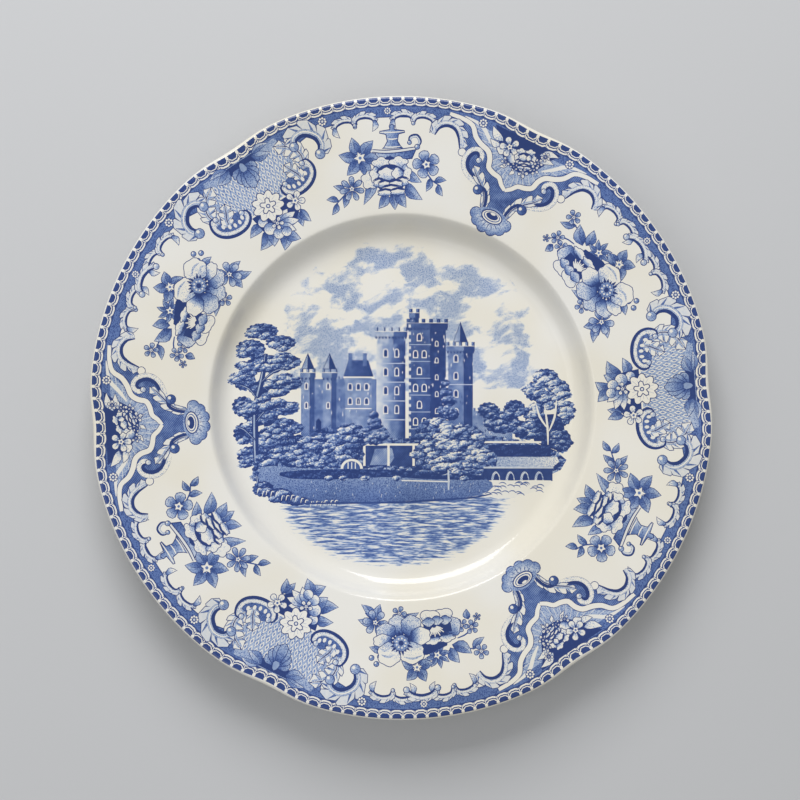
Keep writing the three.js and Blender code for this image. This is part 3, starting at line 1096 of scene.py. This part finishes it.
def trees():
    # tall tree at the left, in tiers of boughs
    foliage(((-57.6, 31.4, 6.4, 3.2), (-50, 26.6, 6.2, 3), (-62.4, 24, 6, 3.8), (-48.4, 18.6, 6.8, 3),
             (-57, 18, 6.6, 3.8), (-65, 11, 4.6, 4.4), (-47, 9.6, 5.8, 2.8), (-55.6, 7.4, 7.4, 4),
             (-65.4, 0, 4.6, 4.2), (-49, -0.6, 6.6, 3), (-59, -4, 6, 3.6), (-49.4, -8.6, 7.4, 4),
             (-64.4, -11, 5, 4.4), (-54.4, -14, 8, 5), (-62.4, -20.4, 5.4, 4), (-57.6, -27, 4, 5)), 0.4,
            3.6, 21, 0.2)
    trunk(((-58.6, -34), (-59.8, -24), (-60.4, -12), (-60.2, 0), (-57.6, 12), (-56, 22)), 2.6)
    for points in (((-60, -6), (-55.6, -1), (-50, 1.6)), ((-59.4, 3), (-63, 7.4), (-67, 9)),
                   ((-58.2, 10), (-53, 14.4), (-48, 16)), ((-60.2, -14), (-65, -9.4), (-68, -8.6))):
        trunk(points, 1.1)
    foliage(((-64.4, 16, 3, 2.2), (-56, 16.6, 3, 2.2), (-62, -1.4, 3.6, 2.2), (-52, -9.6, 3.4, 2),
             (-56.4, 1.4, 2.6, 1.8)), 0.42, 3.4, 22, 0.2)
    # light trees at the right
    foliage(((60, 12, 5.4, 4), (65.2, 7, 4.8, 4.6), (55.4, 6.6, 4.4, 4), (61, 3, 5, 4),
             (67.4, -2.6, 3.6, 5), (55, -3, 4.4, 4)), 0.3, 3.0, 23)
    lay(curve(shape((55, -14), (55.4, -6), (60, -3), (66, -4), (68, -12), (66, -18)), 2, closed=True),
        0.95, LEAFAGE)
    for points in (((60.8, -16), (60.6, -8), (59.4, 1)), ((61.2, -10), (63.6, -4), (64.4, 3)),
                   ((60.8, -9), (57.4, -4), (56, 1))):
        line(points, 0.9, 0.02, 0.7)
    foliage(((36, -1.4, 4.4, 3.4), (47, -0.6, 4.4, 3.6), (41.6, -6.6, 7.4, 4.4), (52, -9.6, 6, 4),
             (66.4, -14, 4, 5)), 0.5, 2.7, 24)


trees()
print("trees planted:", len(sheet), "shapes so far")

# %% [markdown]
# The river's streaks are drawn by the glaze, like the clouds. In front of the castle lie its garden, a
# low bridge and a meadow with a hedge, and the bank's reeds and stones cross the water's edge.

# %% River, garden, bridge and meadow
def river():
    lay(curve(shape((-56, -36), (40, -34), (52, -36), (44, -50), (26, -62), (0, -68), (-22, -66),
                    (-42, -56)), 3, closed=True), 0.6, WATER)


def garden():
    """Lawn, hedges and a stone terrace between the castle and the river."""
    lay(curve(shape((-60, -20), (-40, -13), (0, -13), (40, -12), (64, -18), (66, -26), (36, -34),
                    (-50, -34)), 2, closed=True), 0.6, LEAFAGE)
    block(36, -20.6, 62, -15.6, 0.98, LEAFAGE)
    block(31, -14.9, 58, -14.1, 0.0)
    lay(shape((36, -20.6), (64.6, -20.6), (65.4, -22.6), (63, -24.6), (36, -25)),
        fade(36 - 21j, 66 - 22j, 0.5, 0.2), STIPPLE)
    block(-15, -24.4, 6, -15.4, 0.94, HATCH)
    block(-15.6, -16, 8, -15.1, 0.0)
    lay(shape((-13, -24), (-11, -17.4), (-4, -17), (-3, -21), (-5, -24)), 0.5, HATCH)
    for x in (-15.4, -5.4, 5):
        block(x - 0.5, -24.4, x + 0.5, -15.1, 0.0)
    foliage(((-52, -20, 5.4, 4.4), (-43, -16.6, 6.6, 5), (-43, -23, 6, 3), (-32, -14.4, 7, 5.6),
             (-33, -21, 6, 4), (-21, -12.6, 7.4, 5.6), (-22, -19.6, 6.6, 4.4), (-11, -11.4, 5.4, 4.4)),
            0.42, 3.2, 31, 0.15)
    foliage(((14, -11, 8.6, 6.4), (26, -13.6, 8.6, 6.4), (13.4, -19.4, 8.4, 5.6), (26, -21, 9.4, 5.8),
             (35, -22, 4.6, 4.6)), 0.3, 3.4, 32, -0.15)
    # white arch of the terrace steps
    for size, ink in ((4.6, 0.0), (3.5, 0.8)):
        lay([complex(-20.6 + size * cos(a), -25.6 + size * 0.9 * sin(a))
             for a in np.linspace(0, pi, 13)], ink)
    for x in (-22.1, -20.6, -19.1):
        block(x - 0.22, -25.6, x + 0.22, -22.9, 0.05)


def bridge():
    """Low arches where the river passes under the road at the right."""
    block(34, -30.6, 62.6, -24.8, 0.97, HATCH)
    block(34, -25.4, 63, -24.7, 0.15)
    for x in (39, 45, 51, 57):
        lay([complex(x + 1.9 * cos(a), -30.6 + 4 * sin(a)) for a in np.linspace(0, pi, 9)], 0.22, HATCH)
        lay([complex(x + 1.2 * cos(a) + 0.3, -30.6 + 3.2 * sin(a)) for a in np.linspace(0, pi, 9)], 1.0)
    lay(curve(shape((33, -30.6), (46, -30.4), (62, -30.4), (60, -33), (52, -36), (40, -38), (32, -35)),
              2, closed=True), 0.02)
    uneven = chance(41)
    for k in range(26):
        x, y = 34 + 23 * next(uneven), -31.2 - 5 * next(uneven)
        if x + 1.4 * (y + 31) < 55:
            line(((x, y), (x + 1.2, y + 0.5), (x + 2.4, y + 0.3), (x + 3.2, y - 0.5)), 0.4, 0.75, 0.7)


def meadow():
    outline = shape((-58, -25), (-46, -25), (-30, -26), (0, -27.4), (20, -28), (34, -29.4), (38, -33),
                    (30, -37), (8, -38.6), (-20, -39.8), (-44, -40.4), (-52, -39), (-58, -34))
    lay(curve(outline, 2, closed=True), fade(0 - 27j, 0 - 39j, 0.6, 0.84), STIPPLE)
    hedge = shape((-50, -27), (-30, -25.8), (0, -26.2), (20, -27.4), (34, -28.4), (34, -30.2),
                  (10, -29.8), (-8, -29), (-26, -30), (-46, -29.6))
    lay(curve(hedge, 2, closed=True), 0.95, LEAFAGE)
    line(((0, -30.4), (10, -30.6), (20, -30.9)), 0.5, 0.04)
    uneven = chance(51)
    for k in range(90):
        x = -48 + 82 * next(uneven)
        y = -31.4 - 7 * next(uneven)
        line(((x, y), (x + 0.2, y + 0.9)), 0.22, (0.9, 0.15)[k % 2], 0.8)
    for x in (-30, -24, -15, -2, 26):
        clump(x, -29.6, 1.9, 1.1, 0.3)
    # reeds and stones along the water's edge
    foliage(((-57, -34, 4.4, 3.2), (-50, -36.6, 5, 3), (-43.6, -38.8, 4.4, 2)), 0.6, 2.4, 52)
    for k in range(34):
        x = -60 + 1.0 * k + 0.6 * next(uneven)
        y = -35 - 5.4 * min((k + 3) / 26, 1) + 1.2 * next(uneven)
        line(((x, y - 1.2), (x + 0.5, y + 0.8), (x + 1.5, y + 0.7)), 0.42, (0.02, 0.85)[k % 2], 0.7)
    line(((-46, -39.9), (-28, -39.8), (0, -39.4), (8, -38.9), (20, -38.2), (30, -37.4), (37, -36)), 0.9,
         0.92, 0.5)
    # slender tree on the meadow
    foliage(((19.4, -25, 6.4, 3.2),), 0.24, 2.8, 53)
    line(((19.4, -34.4), (19.5, -30), (19.3, -26)), 0.8, 0.15, 0.4)


river()
garden()
bridge()
meadow()
print("sheet finished:", len(sheet), "shapes")

# %% [markdown]
# The sheet of shapes is now cut into the face of the plate. Every outline, and rings that carry the
# curve of the shoulder, go into one flat triangulation that keeps their edges.

# %% Flat triangulation
def ring_places(radius, count=AROUND):
    turns = 2 * pi * np.arange(count) / count
    return (radius - pull(radius, turns)) * np.exp(1j * turns)


def thinned(points, slack=0.03):
    """Leaves out points that lie on the straight line between their neighbours."""
    kept = []
    for k, place in enumerate(points):
        last = kept[-1] if kept else points[-1]
        ahead = points[(k + 1) % len(points)] - last
        off = abs(((place - last) * ahead.conjugate()).imag) / (abs(ahead) or 1)
        if off > slack or abs(ahead) < 1e-6:
            kept.append(place)
    return kept if len(kept) > 2 else points


def triangulated(outlines, loose=(), loose_edges=()):
    """One flat triangulation that keeps every outline's edges, and any loose ones."""
    corners, edges = [(p.real, p.imag) for p in loose], list(loose_edges)
    for points in outlines:
        first, count = len(corners), len(points)
        corners += [(p.real, p.imag) for p in points]
        edges += [(first + k, first + (k + 1) % count) for k in range(count)]
    made = delaunay_2d_cdt(corners, edges, [], 0, 1e-5, False)
    places = np.array([complex(*v) for v in made[0]])
    return places, np.array(made[2])


square = triangulated([shape((0, 0), (1, 0), (1, 1), (0, 1))])
print("a square is cut into", len(square[1]), "triangles")

# %% [markdown]
# Each triangle takes the ink of the last shape laid over it, as a stack of cut paper would show from
# above. A place is under a shape where the shape's outline winds round it.

# %% Which shape is on top
def winding(points, places):
    """How often an outline goes round each place."""
    turns = np.zeros(len(places), int)
    for one, other in zip(points, points[1:] + points[:1]):
        left = ((other - one).conjugate() * (places - one)).imag > 0
        turns += (one.imag <= places.imag) & (other.imag > places.imag) & left
        turns -= (one.imag > places.imag) & (other.imag <= places.imag) & ~left
    return turns


def last_laid(sheet, middles):
    """For each triangle's middle, the number of the last shape that covers it."""
    order = np.argsort(middles.real)
    sorted_x = middles.real[order]
    owner = np.full(len(middles), -1)
    for k, (points, ink, grain) in enumerate(sheet):
        xs, ys = [p.real for p in points], [p.imag for p in points]
        near = order[np.searchsorted(sorted_x, min(xs)):np.searchsorted(sorted_x, max(xs))]
        near = near[(middles.imag[near] > min(ys)) & (middles.imag[near] < max(ys))]
        owner[near[winding(points, middles[near]) != 0]] = k
    return owner


STRAIGHT = 0.012       # a corner this near the line between its neighbours isn't needed


def seen_outlines(places, triangles, owner):
    """The places and edges where two different shapes meet, without what lies hidden beneath."""
    sides = np.sort(np.concatenate([triangles[:, [0, 1]], triangles[:, [1, 2]], triangles[:, [2, 0]]]),
                    axis=1)
    order = np.lexsort((sides[:, 1], sides[:, 0]))
    sides, above = sides[order], np.tile(owner, 3)[order]
    paired = (sides[1:] == sides[:-1]).all(axis=1)
    seen = sides[1:][paired & (above[1:] != above[:-1])]
    beside = {}
    for a, b in seen.tolist():
        beside.setdefault(a, set()).add(b)
        beside.setdefault(b, set()).add(a)
    for here in list(beside):
        if len(beside[here]) == 2:
            a, b = beside[here]
            ahead = places[b] - places[a]
            off = abs(((places[here] - places[a]) * ahead.conjugate()).imag) / abs(ahead)
            if off < STRAIGHT and b not in beside[a]:
                beside[a].symmetric_difference_update({here, b})
                beside[b].symmetric_difference_update({here, a})
                beside[here] = set()
    kept = [here for here in beside if beside[here]]
    number = {here: k for k, here in enumerate(kept)}
    edges = [(number[a], number[b]) for a in kept for b in beside[a] if a < b]
    return [places[here] for here in kept], edges


inside, outside = winding(shape((0, 0), (1, 0), (1, 1), (0, 1)), np.array([0.5 + 0.5j, 2 + 0.5j]))
print("a square winds round its middle", inside, "time and round a place beside it", outside, "times")

# %% [markdown]
# The cut is made twice. The first one holds every outline, hidden or not. The second keeps only the
# edges that are seen, which leaves far fewer triangles.

# %% Cut the print into the face
sheet = [(thinned(points), ink, grain) for points, ink, grain in sheet]
face_ring = [complex(p) for p in ring_places(FACE_EDGE)]
sheet.insert(0, (face_ring, 0.0, WASH))
shoulder_rings = np.linspace(WELL_RADIUS - 1, CREST_RADIUS + 1, 13)
rim_rings = (88, 97, 106, 114, 120, 124.2, BEAD_CENTRE, 126.0)
rings = [list(ring_places(r)) for r in (*shoulder_rings, *rim_rings, FACE_EDGE)]
places, triangles = triangulated([points for points, ink, grain in sheet] + rings)
owner = last_laid(sheet, places[triangles].mean(axis=1))
print("print cut:", len(sheet), "shapes,", len(triangles), "triangles with all that lies hidden")
shown = owner >= 0
corners, edges = seen_outlines(places, triangles[shown], owner[shown])
places, triangles = triangulated(rings, corners, edges)
owner = last_laid(sheet, places[triangles].mean(axis=1))
triangles, owner = triangles[owner >= 0], owner[owner >= 0]
print("seen from above:", len(places), "corners,", len(triangles), "triangles")

# %% [markdown]
# Each corner of each triangle carries numbers for the glaze to read later: how much ink lies there,
# and whether it is laid as dots, fine lines, leafage, cloud or water. The inks of big soft areas are
# small formulas, so they shade from dark to pale across one shape.

# %% Ink on the corners
GRAINS = (STIPPLE, HATCH, LEAFAGE, CLOUD, WATER)


def corner_inks(places, triangles, owner):
    """Ink and the first three grains in one layer's numbers, the other two grains in a second's."""
    corners = places[triangles]
    ink = np.zeros(corners.shape)
    for k in np.unique(owner):
        mine = owner == k
        laid = sheet[k][1]
        ink[mine] = laid(corners[mine]) if callable(laid) else laid
    marks = np.array([[float(grain == kind) for kind in GRAINS] for points, laid, grain in sheet])
    print_data, picture_data = np.zeros((len(triangles), 3, 4)), np.zeros((len(triangles), 3, 4))
    print_data[:, :, 0] = np.clip(ink, 0, 1)
    print_data[:, :, 1:] = marks[owner][:, None, :3]
    picture_data[:, :, :2] = marks[owner][:, None, 3:]
    return {"print": print_data, "picture": picture_data}


def face_normals(places):
    """The true normal of the smooth surface, from heights a hair to each side."""
    hair = 0.05
    across = (face_height(places + hair) - face_height(places - hair)) / (2 * hair)
    along = (face_height(places + 1j * hair) - face_height(places - 1j * hair)) / (2 * hair)
    normals = np.stack([-across, -along, np.ones(len(places))], axis=1)
    return normals / np.linalg.norm(normals, axis=1)[:, None]


def mesh_object(name, places, triangles, heights):
    mesh = bpy.data.meshes.new(name)
    corners = np.stack([places.real, places.imag, heights], axis=1) * MM
    mesh.from_pydata(corners.tolist(), [], triangles.tolist())
    made = bpy.data.objects.new(name, mesh)
    bpy.context.collection.objects.link(made)
    return made


face = mesh_object("face", places, triangles, face_height(places))
for name, numbers in corner_inks(places, triangles, owner).items():
    layer = face.data.color_attributes.new(name, "FLOAT_COLOR", "CORNER")
    layer.data.foreach_set("color", numbers.ravel())
    bare = plate.data.color_attributes.new(name, "FLOAT_COLOR", "CORNER")
    bare.data.foreach_set("color", np.zeros(4 * len(plate.data.loops)))
layers = [layer.name for layer in face.data.color_attributes]
print("ink laid on", len(face.data.loops), "corners, in the layers", layers)

# %% [markdown]
# The turned back is round so far. The same formula that pulled the face's outline in at the six dips
# is applied to it, so the two edges meet point for point and can be merged into one closed body.

# %% Join face and back
def pull_in(made):
    corners = np.empty(3 * len(made.data.vertices))
    made.data.vertices.foreach_get("co", corners)
    corners = corners.reshape(-1, 3)
    spots = (corners[:, 0] + 1j * corners[:, 1]) / MM
    radius, angle = np.abs(spots), np.angle(spots)
    spots = (radius - pull(radius, angle)) * np.exp(1j * angle)
    corners[:, 0], corners[:, 1] = spots.real * MM, spots.imag * MM
    made.data.vertices.foreach_set("co", corners.ravel())
    made.data.update()


pull_in(plate)
bpy.ops.object.select_all(action="DESELECT")
face.select_set(True)
plate.select_set(True)
bpy.context.view_layer.objects.active = plate
bpy.ops.object.join()
bpy.ops.object.mode_set(mode="EDIT")
bpy.ops.mesh.select_mode(type="VERT")
bpy.ops.mesh.select_all(action="DESELECT")
bpy.ops.mesh.select_non_manifold(use_wire=False, use_multi_face=False, use_non_contiguous=False,
                                 use_verts=False)
bpy.ops.mesh.remove_doubles(threshold=0.01 * MM)
bpy.ops.mesh.select_all(action="SELECT")
bpy.ops.mesh.normals_make_consistent(inside=False)
bpy.ops.mesh.select_all(action="DESELECT")
bpy.ops.mesh.select_non_manifold()
bpy.ops.object.mode_set(mode="OBJECT")
open_corners = sum(v.select for v in plate.data.vertices)
bpy.ops.object.select_all(action="DESELECT")
plate.select_set(True)
bpy.ops.object.shade_smooth_by_angle(angle=radians(40))
print("plate joined:", len(plate.data.polygons), "faces,", open_corners, "open corners")

# %% [markdown]
# The face's triangles are very uneven in size, so their averaged normals would make a highlight
# wobble. Its corners are given the normal of the true surface. The back keeps its ordinary ones. The
# map lays the face out as one big disc and the back as a small one, for a colour bake.

# %% Normals and map
mesh = plate.data
corner_vertex = np.empty(len(mesh.loops), int)
mesh.loops.foreach_get("vertex_index", corner_vertex)
points = np.empty(3 * len(mesh.vertices))
mesh.vertices.foreach_get("co", points)
points = points.reshape(-1, 3) / MM
spots = points[:, 0] + 1j * points[:, 1]
face_normal = np.empty(3 * len(mesh.polygons))
mesh.polygons.foreach_get("normal", face_normal)
sides = np.repeat(face_normal.reshape(-1, 3)[:, 2] > 0, [p.loop_total for p in mesh.polygons])
on_face = sides & (points[corner_vertex, 2] > FLOOR_TOP - 0.01)
custom = np.where(on_face[:, None], face_normals(spots)[corner_vertex], 0)
custom[np.abs(spots[corner_vertex]) > FACE_EDGE - 1] = 0
mesh.normals_split_custom_set(custom.tolist())

FACE_MIDDLE, FACE_SPAN = 0.44, 0.43
BACK_MIDDLE, BACK_SPAN = 0.84, 0.15
across, up = (spots[corner_vertex] / PLATE_RADIUS).real, (spots[corner_vertex] / PLATE_RADIUS).imag
u = np.where(on_face, FACE_MIDDLE + FACE_SPAN * across, BACK_MIDDLE - BACK_SPAN * across)
v = np.where(on_face, FACE_MIDDLE + FACE_SPAN * up, BACK_MIDDLE + BACK_SPAN * up)
flat = mesh.uv_layers.new(name="OFBake")
flat.data.foreach_set("uv", np.stack([u, v], axis=1).ravel())
print("corners on the face:", int(on_face.sum()), "of", len(on_face))
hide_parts("plate_body")

# %% [markdown]
# A shader is built from many small sums. One class wraps a socket so that the sums read as ordinary
# arithmetic: each operator adds one Math node. Other nodes come from one method that takes the
# node's type, its settings and what goes into its sockets.

# %% Shader arithmetic
class Wire:
    """An output socket that can be added, multiplied and compared."""

    def __init__(self, tree, socket):
        self.tree, self.socket = tree, socket

    def math(self, operation, *values):
        node = self.tree.nodes.new("ShaderNodeMath")
        node.operation = operation
        for slot, value in zip(node.inputs, values):
            self.tree.plug(slot, value)
        return Wire(self.tree, node.outputs[0])

    def __add__(self, other):
        return self.math("ADD", self, other)

    def __radd__(self, other):
        return self.math("ADD", other, self)

    def __sub__(self, other):
        return self.math("SUBTRACT", self, other)

    def __rsub__(self, other):
        return self.math("SUBTRACT", other, self)

    def __mul__(self, other):
        return self.math("MULTIPLY", self, other)

    def __rmul__(self, other):
        return self.math("MULTIPLY", other, self)

    def __truediv__(self, other):
        return self.math("DIVIDE", self, other)

    def sine(self):
        return self.math("SINE", self)

    def root(self):
        return self.math("SQRT", self)

    def least(self, other):
        return self.math("MINIMUM", self, other)

    def most(self, other):
        return self.math("MAXIMUM", self, other)

    def ramp(self, low, high, bottom=0.0, top=1.0):
        """Climbs smoothly from bottom to top while this goes from low to high."""
        settings = {"interpolation_type": "SMOOTHSTEP"}
        values = {"Value": self, "From Min": low, "From Max": high, "To Min": bottom, "To Max": top}
        return self.tree.add("ShaderNodeMapRange", settings, values)["Result"]


def set_stops(elements, stops):
    for place, code in stops[1:-1]:
        elements.new(place)
    for element, (place, code) in zip(elements, stops):
        element.position, element.color = place, colour(code)


class Tree:
    """A new material's node tree."""

    def __init__(self, name):
        self.material = bpy.data.materials.new(name)
        self.material.use_nodes = True
        self.nodes, self.links = self.material.node_tree.nodes, self.material.node_tree.links
        self.nodes.clear()

    def plug(self, slot, value):
        if isinstance(value, Wire):
            self.links.new(value.socket, slot)
        else:
            slot.default_value = value

    def add(self, kind, settings=None, values=None):
        node = self.nodes.new(kind)
        for name, value in (settings or {}).items():
            if name == "stops":
                set_stops(node.color_ramp.elements, value)
            else:
                setattr(node, name, value)
        for name, value in (values or {}).items():
            self.plug(node.inputs[name], value)
        return {s.name: Wire(self, s) for s in node.outputs if s.enabled}

    def noise(self, place, scale, detail=2.0, roughness=0.5):
        return self.add("ShaderNodeTexNoise", None, {"Vector": place, "Scale": scale, "Detail": detail,
                                                     "Roughness": roughness})["Fac"]

    def mix(self, share, one, other, blend="MIX"):
        settings = {"data_type": "RGBA", "blend_type": blend}
        return self.add("ShaderNodeMix", settings, {0: share, 6: one, 7: other})["Result"]


def colour(code):
    """A linear colour from a six-digit web code."""
    parts = [int(code[k:k + 2], 16) / 255 for k in (0, 2, 4)]
    linear = [p / 12.92 if p < 0.04045 else ((p + 0.055) / 1.055) ** 2.4 for p in parts]
    return (*linear, 1.0)


print("mid grey, linear:", [round(v, 3) for v in colour("808080")])

# %% [markdown]
# Cobalt ink sinks a little into the clay and softens under the glaze, so one printed blue runs from a
# pale wash to near navy. The tones come from the amount of ink. Dots and fine lines carry the middle
# tones, as they do on an engraved plate, at about half a millimetre apart. The glaze above is one
# glossy skin with a faint orange-peel surface and a dry, unglazed land under the foot ring where the
# kiln shelf touched it.

# %% Printed glaze
glaze = Tree("printed_glaze")
place = glaze.add("ShaderNodeTexCoord")["Object"]
axes = glaze.add("ShaderNodeSeparateXYZ", None, {"Vector": place})
x, y, z = axes["X"], axes["Y"], axes["Z"]
attribute = glaze.add("ShaderNodeVertexColor", {"layer_name": "print"})
grain = glaze.add("ShaderNodeSeparateColor", None, {"Color": attribute["Color"]})
ink, dotted, lined, leafy = grain["Red"], grain["Green"], grain["Blue"], attribute["Alpha"]

picture = glaze.add("ShaderNodeVertexColor", {"layer_name": "picture"})
picture = glaze.add("ShaderNodeSeparateColor", None, {"Color": picture["Color"]})
cloudy, watery = picture["Red"], picture["Green"]


def place_at(across, out, height=0.0):
    return glaze.add("ShaderNodeCombineXYZ", None, {"X": across, "Y": out, "Z": height})["Vector"]


def cells(scale, place=place, randomness=1.0):
    return glaze.add("ShaderNodeTexVoronoi", None, {"Vector": place, "Scale": scale,
                                                    "Randomness": randomness})


# Dots, fine lines and the unevenness of a hand-pulled print
dot_tone = cells(1900.0, randomness=0.75)["Distance"].ramp(0.18, 0.5, 0.26, -0.2)
line_wobble = glaze.noise(place, 160.0) * 3.0
line_tone = ((x * 0.8 + y * 0.6) * (2 * pi / (0.62 * MM)) + line_wobble).sine() * 0.2
mottle = (glaze.noise(place, 300.0, 3.0) - 0.5) * 0.7
uneven = (glaze.noise(place, 45.0, 3.0) - 0.5) * 0.16 + (glaze.noise(place, 900.0, 1.0) - 0.5) * 0.22

# Leafage: flattened tufts lit from the upper left, each broken into small leaves
frayed_x = x * 0.66 + (glaze.noise(place, 420.0, 2.0) - 0.5) * (1.5 * MM)
frayed_y = y + (glaze.noise(place, 480.0, 2.0) - 0.5) * (1.7 * MM)
frayed = place_at(frayed_x, frayed_y)
tuft = cells(560.0, frayed)
from_middle = glaze.add("ShaderNodeVectorMath", {"operation": "SUBTRACT"},
                        {0: frayed, 1: tuft["Position"]})["Vector"]
lit_side = glaze.add("ShaderNodeVectorMath", {"operation": "DOT_PRODUCT"},
                     {0: from_middle, 1: (-0.4, 0.9, 0.0)})["Value"]
leaning = place_at(frayed_x + x * 0.34, frayed_y)
small_leaves = cells(1500.0, leaning)["Distance"].ramp(0.12, 0.55, 0.5, -0.5)
leaf_tone = lit_side * (-0.5 / MM) + tuft["Distance"].ramp(0.3, 0.75, -0.08, 0.2) - small_leaves * 0.5

# Cloud: billows that thin out towards the edge of the sky
drift = glaze.noise(place, 60.0) * 0.012
billow = glaze.noise(place_at(x + drift, y * 1.55 - x * 0.3 + drift), 62.0, 4.0, 0.58)
sky_edge = ((x * x + (y - 11 * MM) * (y - 11 * MM)).root() / MM).ramp(52.0, 62.0, 0.0, 0.2)
cloud_ink = (billow - sky_edge).ramp(0.44, 0.56, 0.0, 0.5) * dot_tone.ramp(-0.2, 0.26, 0.5, 1.1)

# Water: long level streaks that break up towards the banks
streak = glaze.noise(place_at(x + glaze.noise(place, 90.0) * 0.006, y * 8.0), 150.0, 3.0, 0.6)
bank_x, bank_y = (x / MM + 3) / 51, (y / MM + 36) / 32
bank = (bank_x * bank_x + bank_y * bank_y).root().ramp(0.84, 1.02, 0.0, 0.34)
fine_streak = glaze.noise(place_at(x, y * 9.0), 420.0, 2.0)
water_ink = (streak - bank).ramp(0.36, 0.61, 0.0, 0.84) * fine_streak.ramp(0.3, 0.6, 0.6, 1.0)

some_ink = ink.ramp(0.02, 0.12)
full_ink = ink.ramp(0.75, 1.0, 1.0, 0.45)
texture = dotted * dot_tone + lined * (line_tone + mottle) + leafy * leaf_tone + uneven
drawn = ink + texture * some_ink * full_ink
tone = drawn * (1 - cloudy) * (1 - watery) + cloud_ink * cloudy + water_ink * watery
tone = tone.most(0.0).least(1.0)

TONES = ((0.0, "EFEDE7"), (0.14, "CDD5E3"), (0.34, "9DB0D2"), (0.55, "6E87BC"), (0.78, "45609F"),
         (1.0, "293F7C"))
printed = glaze.add("ShaderNodeValToRGB", {"stops": TONES}, {"Fac": tone})["Color"]

warmth = glaze.noise(place, 22.0, 2.0).ramp(0.35, 0.7, 0.0, 0.5)
printed = glaze.mix(warmth, printed, colour("F7F0DC"), "MULTIPLY")
radius = (x * x + y * y).root() / MM
past_inner = radius.ramp(FOOT_INNER - 0.3, FOOT_INNER + 0.3)
within_outer = radius.ramp(FOOT_OUTER - 0.3, FOOT_OUTER + 0.3, 1.0, 0.0)
land = past_inner * within_outer * z.ramp(0.2 * MM, 0.5 * MM, 1.0, 0.0)
biscuit = glaze.mix(glaze.noise(place, 700.0, 4.0), colour("D9CDB4"), colour("B8A888"))
base = glaze.mix(land, printed, biscuit)

smears = glaze.noise(place, 35.0, 4.0, 0.6).ramp(0.4, 0.75, 0.0, 0.1)
roughness = glaze.noise(place, 400.0, 2.0) * 0.03 + smears + 0.07
roughness = roughness + land * 0.6
peel = glaze.noise(place, 260.0, 2.0) * (1 - land)
bump = glaze.add("ShaderNodeBump", None, {"Strength": 0.12, "Distance": 0.15 * MM,
                                          "Height": peel})["Normal"]
shader = glaze.add("ShaderNodeBsdfPrincipled", None, {
    "Base Color": base, "Roughness": roughness, "Normal": bump, "IOR": 1.5, "Coat Weight": 0.0})["BSDF"]
glaze.add("ShaderNodeOutputMaterial", None, {"Surface": shader})
plate.data.materials.clear()
plate.data.materials.append(glaze.material)
print("glaze nodes:", len(glaze.nodes))

# %% [markdown]
# The plate lies on a plain pale table. A wide soft light stands beyond its top edge, so the far
# shoulder falls into a faint shade and the near one catches the light, and the sky fills the rest.

# %% Table, light and camera
bpy.ops.object.select_all(action="DESELECT")
bpy.ops.mesh.primitive_plane_add(size=30)
table = bpy.context.object
table.name = "table"
cloth = Tree("plain_table")
matt = cloth.add("ShaderNodeBsdfPrincipled", None, {"Base Color": colour("C9CACC"),
                                                    "Roughness": 0.7})["BSDF"]
cloth.add("ShaderNodeOutputMaterial", None, {"Surface": matt})
table.data.materials.append(cloth.material)


def soft_light(name, place, aim, size, power):
    bpy.ops.object.light_add(type="AREA", location=place)
    lamp = bpy.context.object
    lamp.name = name
    lamp.data.size = size
    lamp.data.energy = power
    lamp.rotation_euler = (aim - lamp.location).to_track_quat("-Z", "Y").to_euler()


middle = Vector((0, 0, PLATE_HEIGHT / 2 * MM))
soft_light("key", Vector((-0.15, 1.1, 1.0)), middle, 0.9, 16)
soft_light("fill", Vector((-0.7, -0.5, 1.3)), middle, 1.2, 4)
scene = bpy.context.scene
scene.world = bpy.data.worlds.new("studio")
scene.world.use_nodes = True
scene.world.node_tree.nodes["Background"].inputs["Color"].default_value = (0.95, 0.96, 0.96, 1)
scene.world.node_tree.nodes["Background"].inputs["Strength"].default_value = 0.38
scene.view_settings.view_transform = "Standard"

LENS, SENSOR, PICTURE_WIDTH = 85.0, 36.0, 324.6
centre = Vector((-1.2 * MM, 2.0 * MM, PLATE_HEIGHT * MM))
LEAN_UP, LEAN_LEFT = radians(3.2), radians(2.0)
camera_data = bpy.data.cameras.new("camera")
camera_data.lens, camera_data.sensor_width = LENS, SENSOR
camera = bpy.data.objects.new("camera", camera_data)
scene.collection.objects.link(camera)
camera.rotation_euler = (LEAN_UP, -LEAN_LEFT, 0)
back = camera.rotation_euler.to_matrix() @ Vector((0, 0, 1))
camera.location = centre + back * (PICTURE_WIDTH * MM * LENS / SENSOR)
scene.camera = camera
print("camera stands", round(camera.location.z, 3), "m over the table")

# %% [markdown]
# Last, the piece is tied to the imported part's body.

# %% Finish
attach(plate, "root")
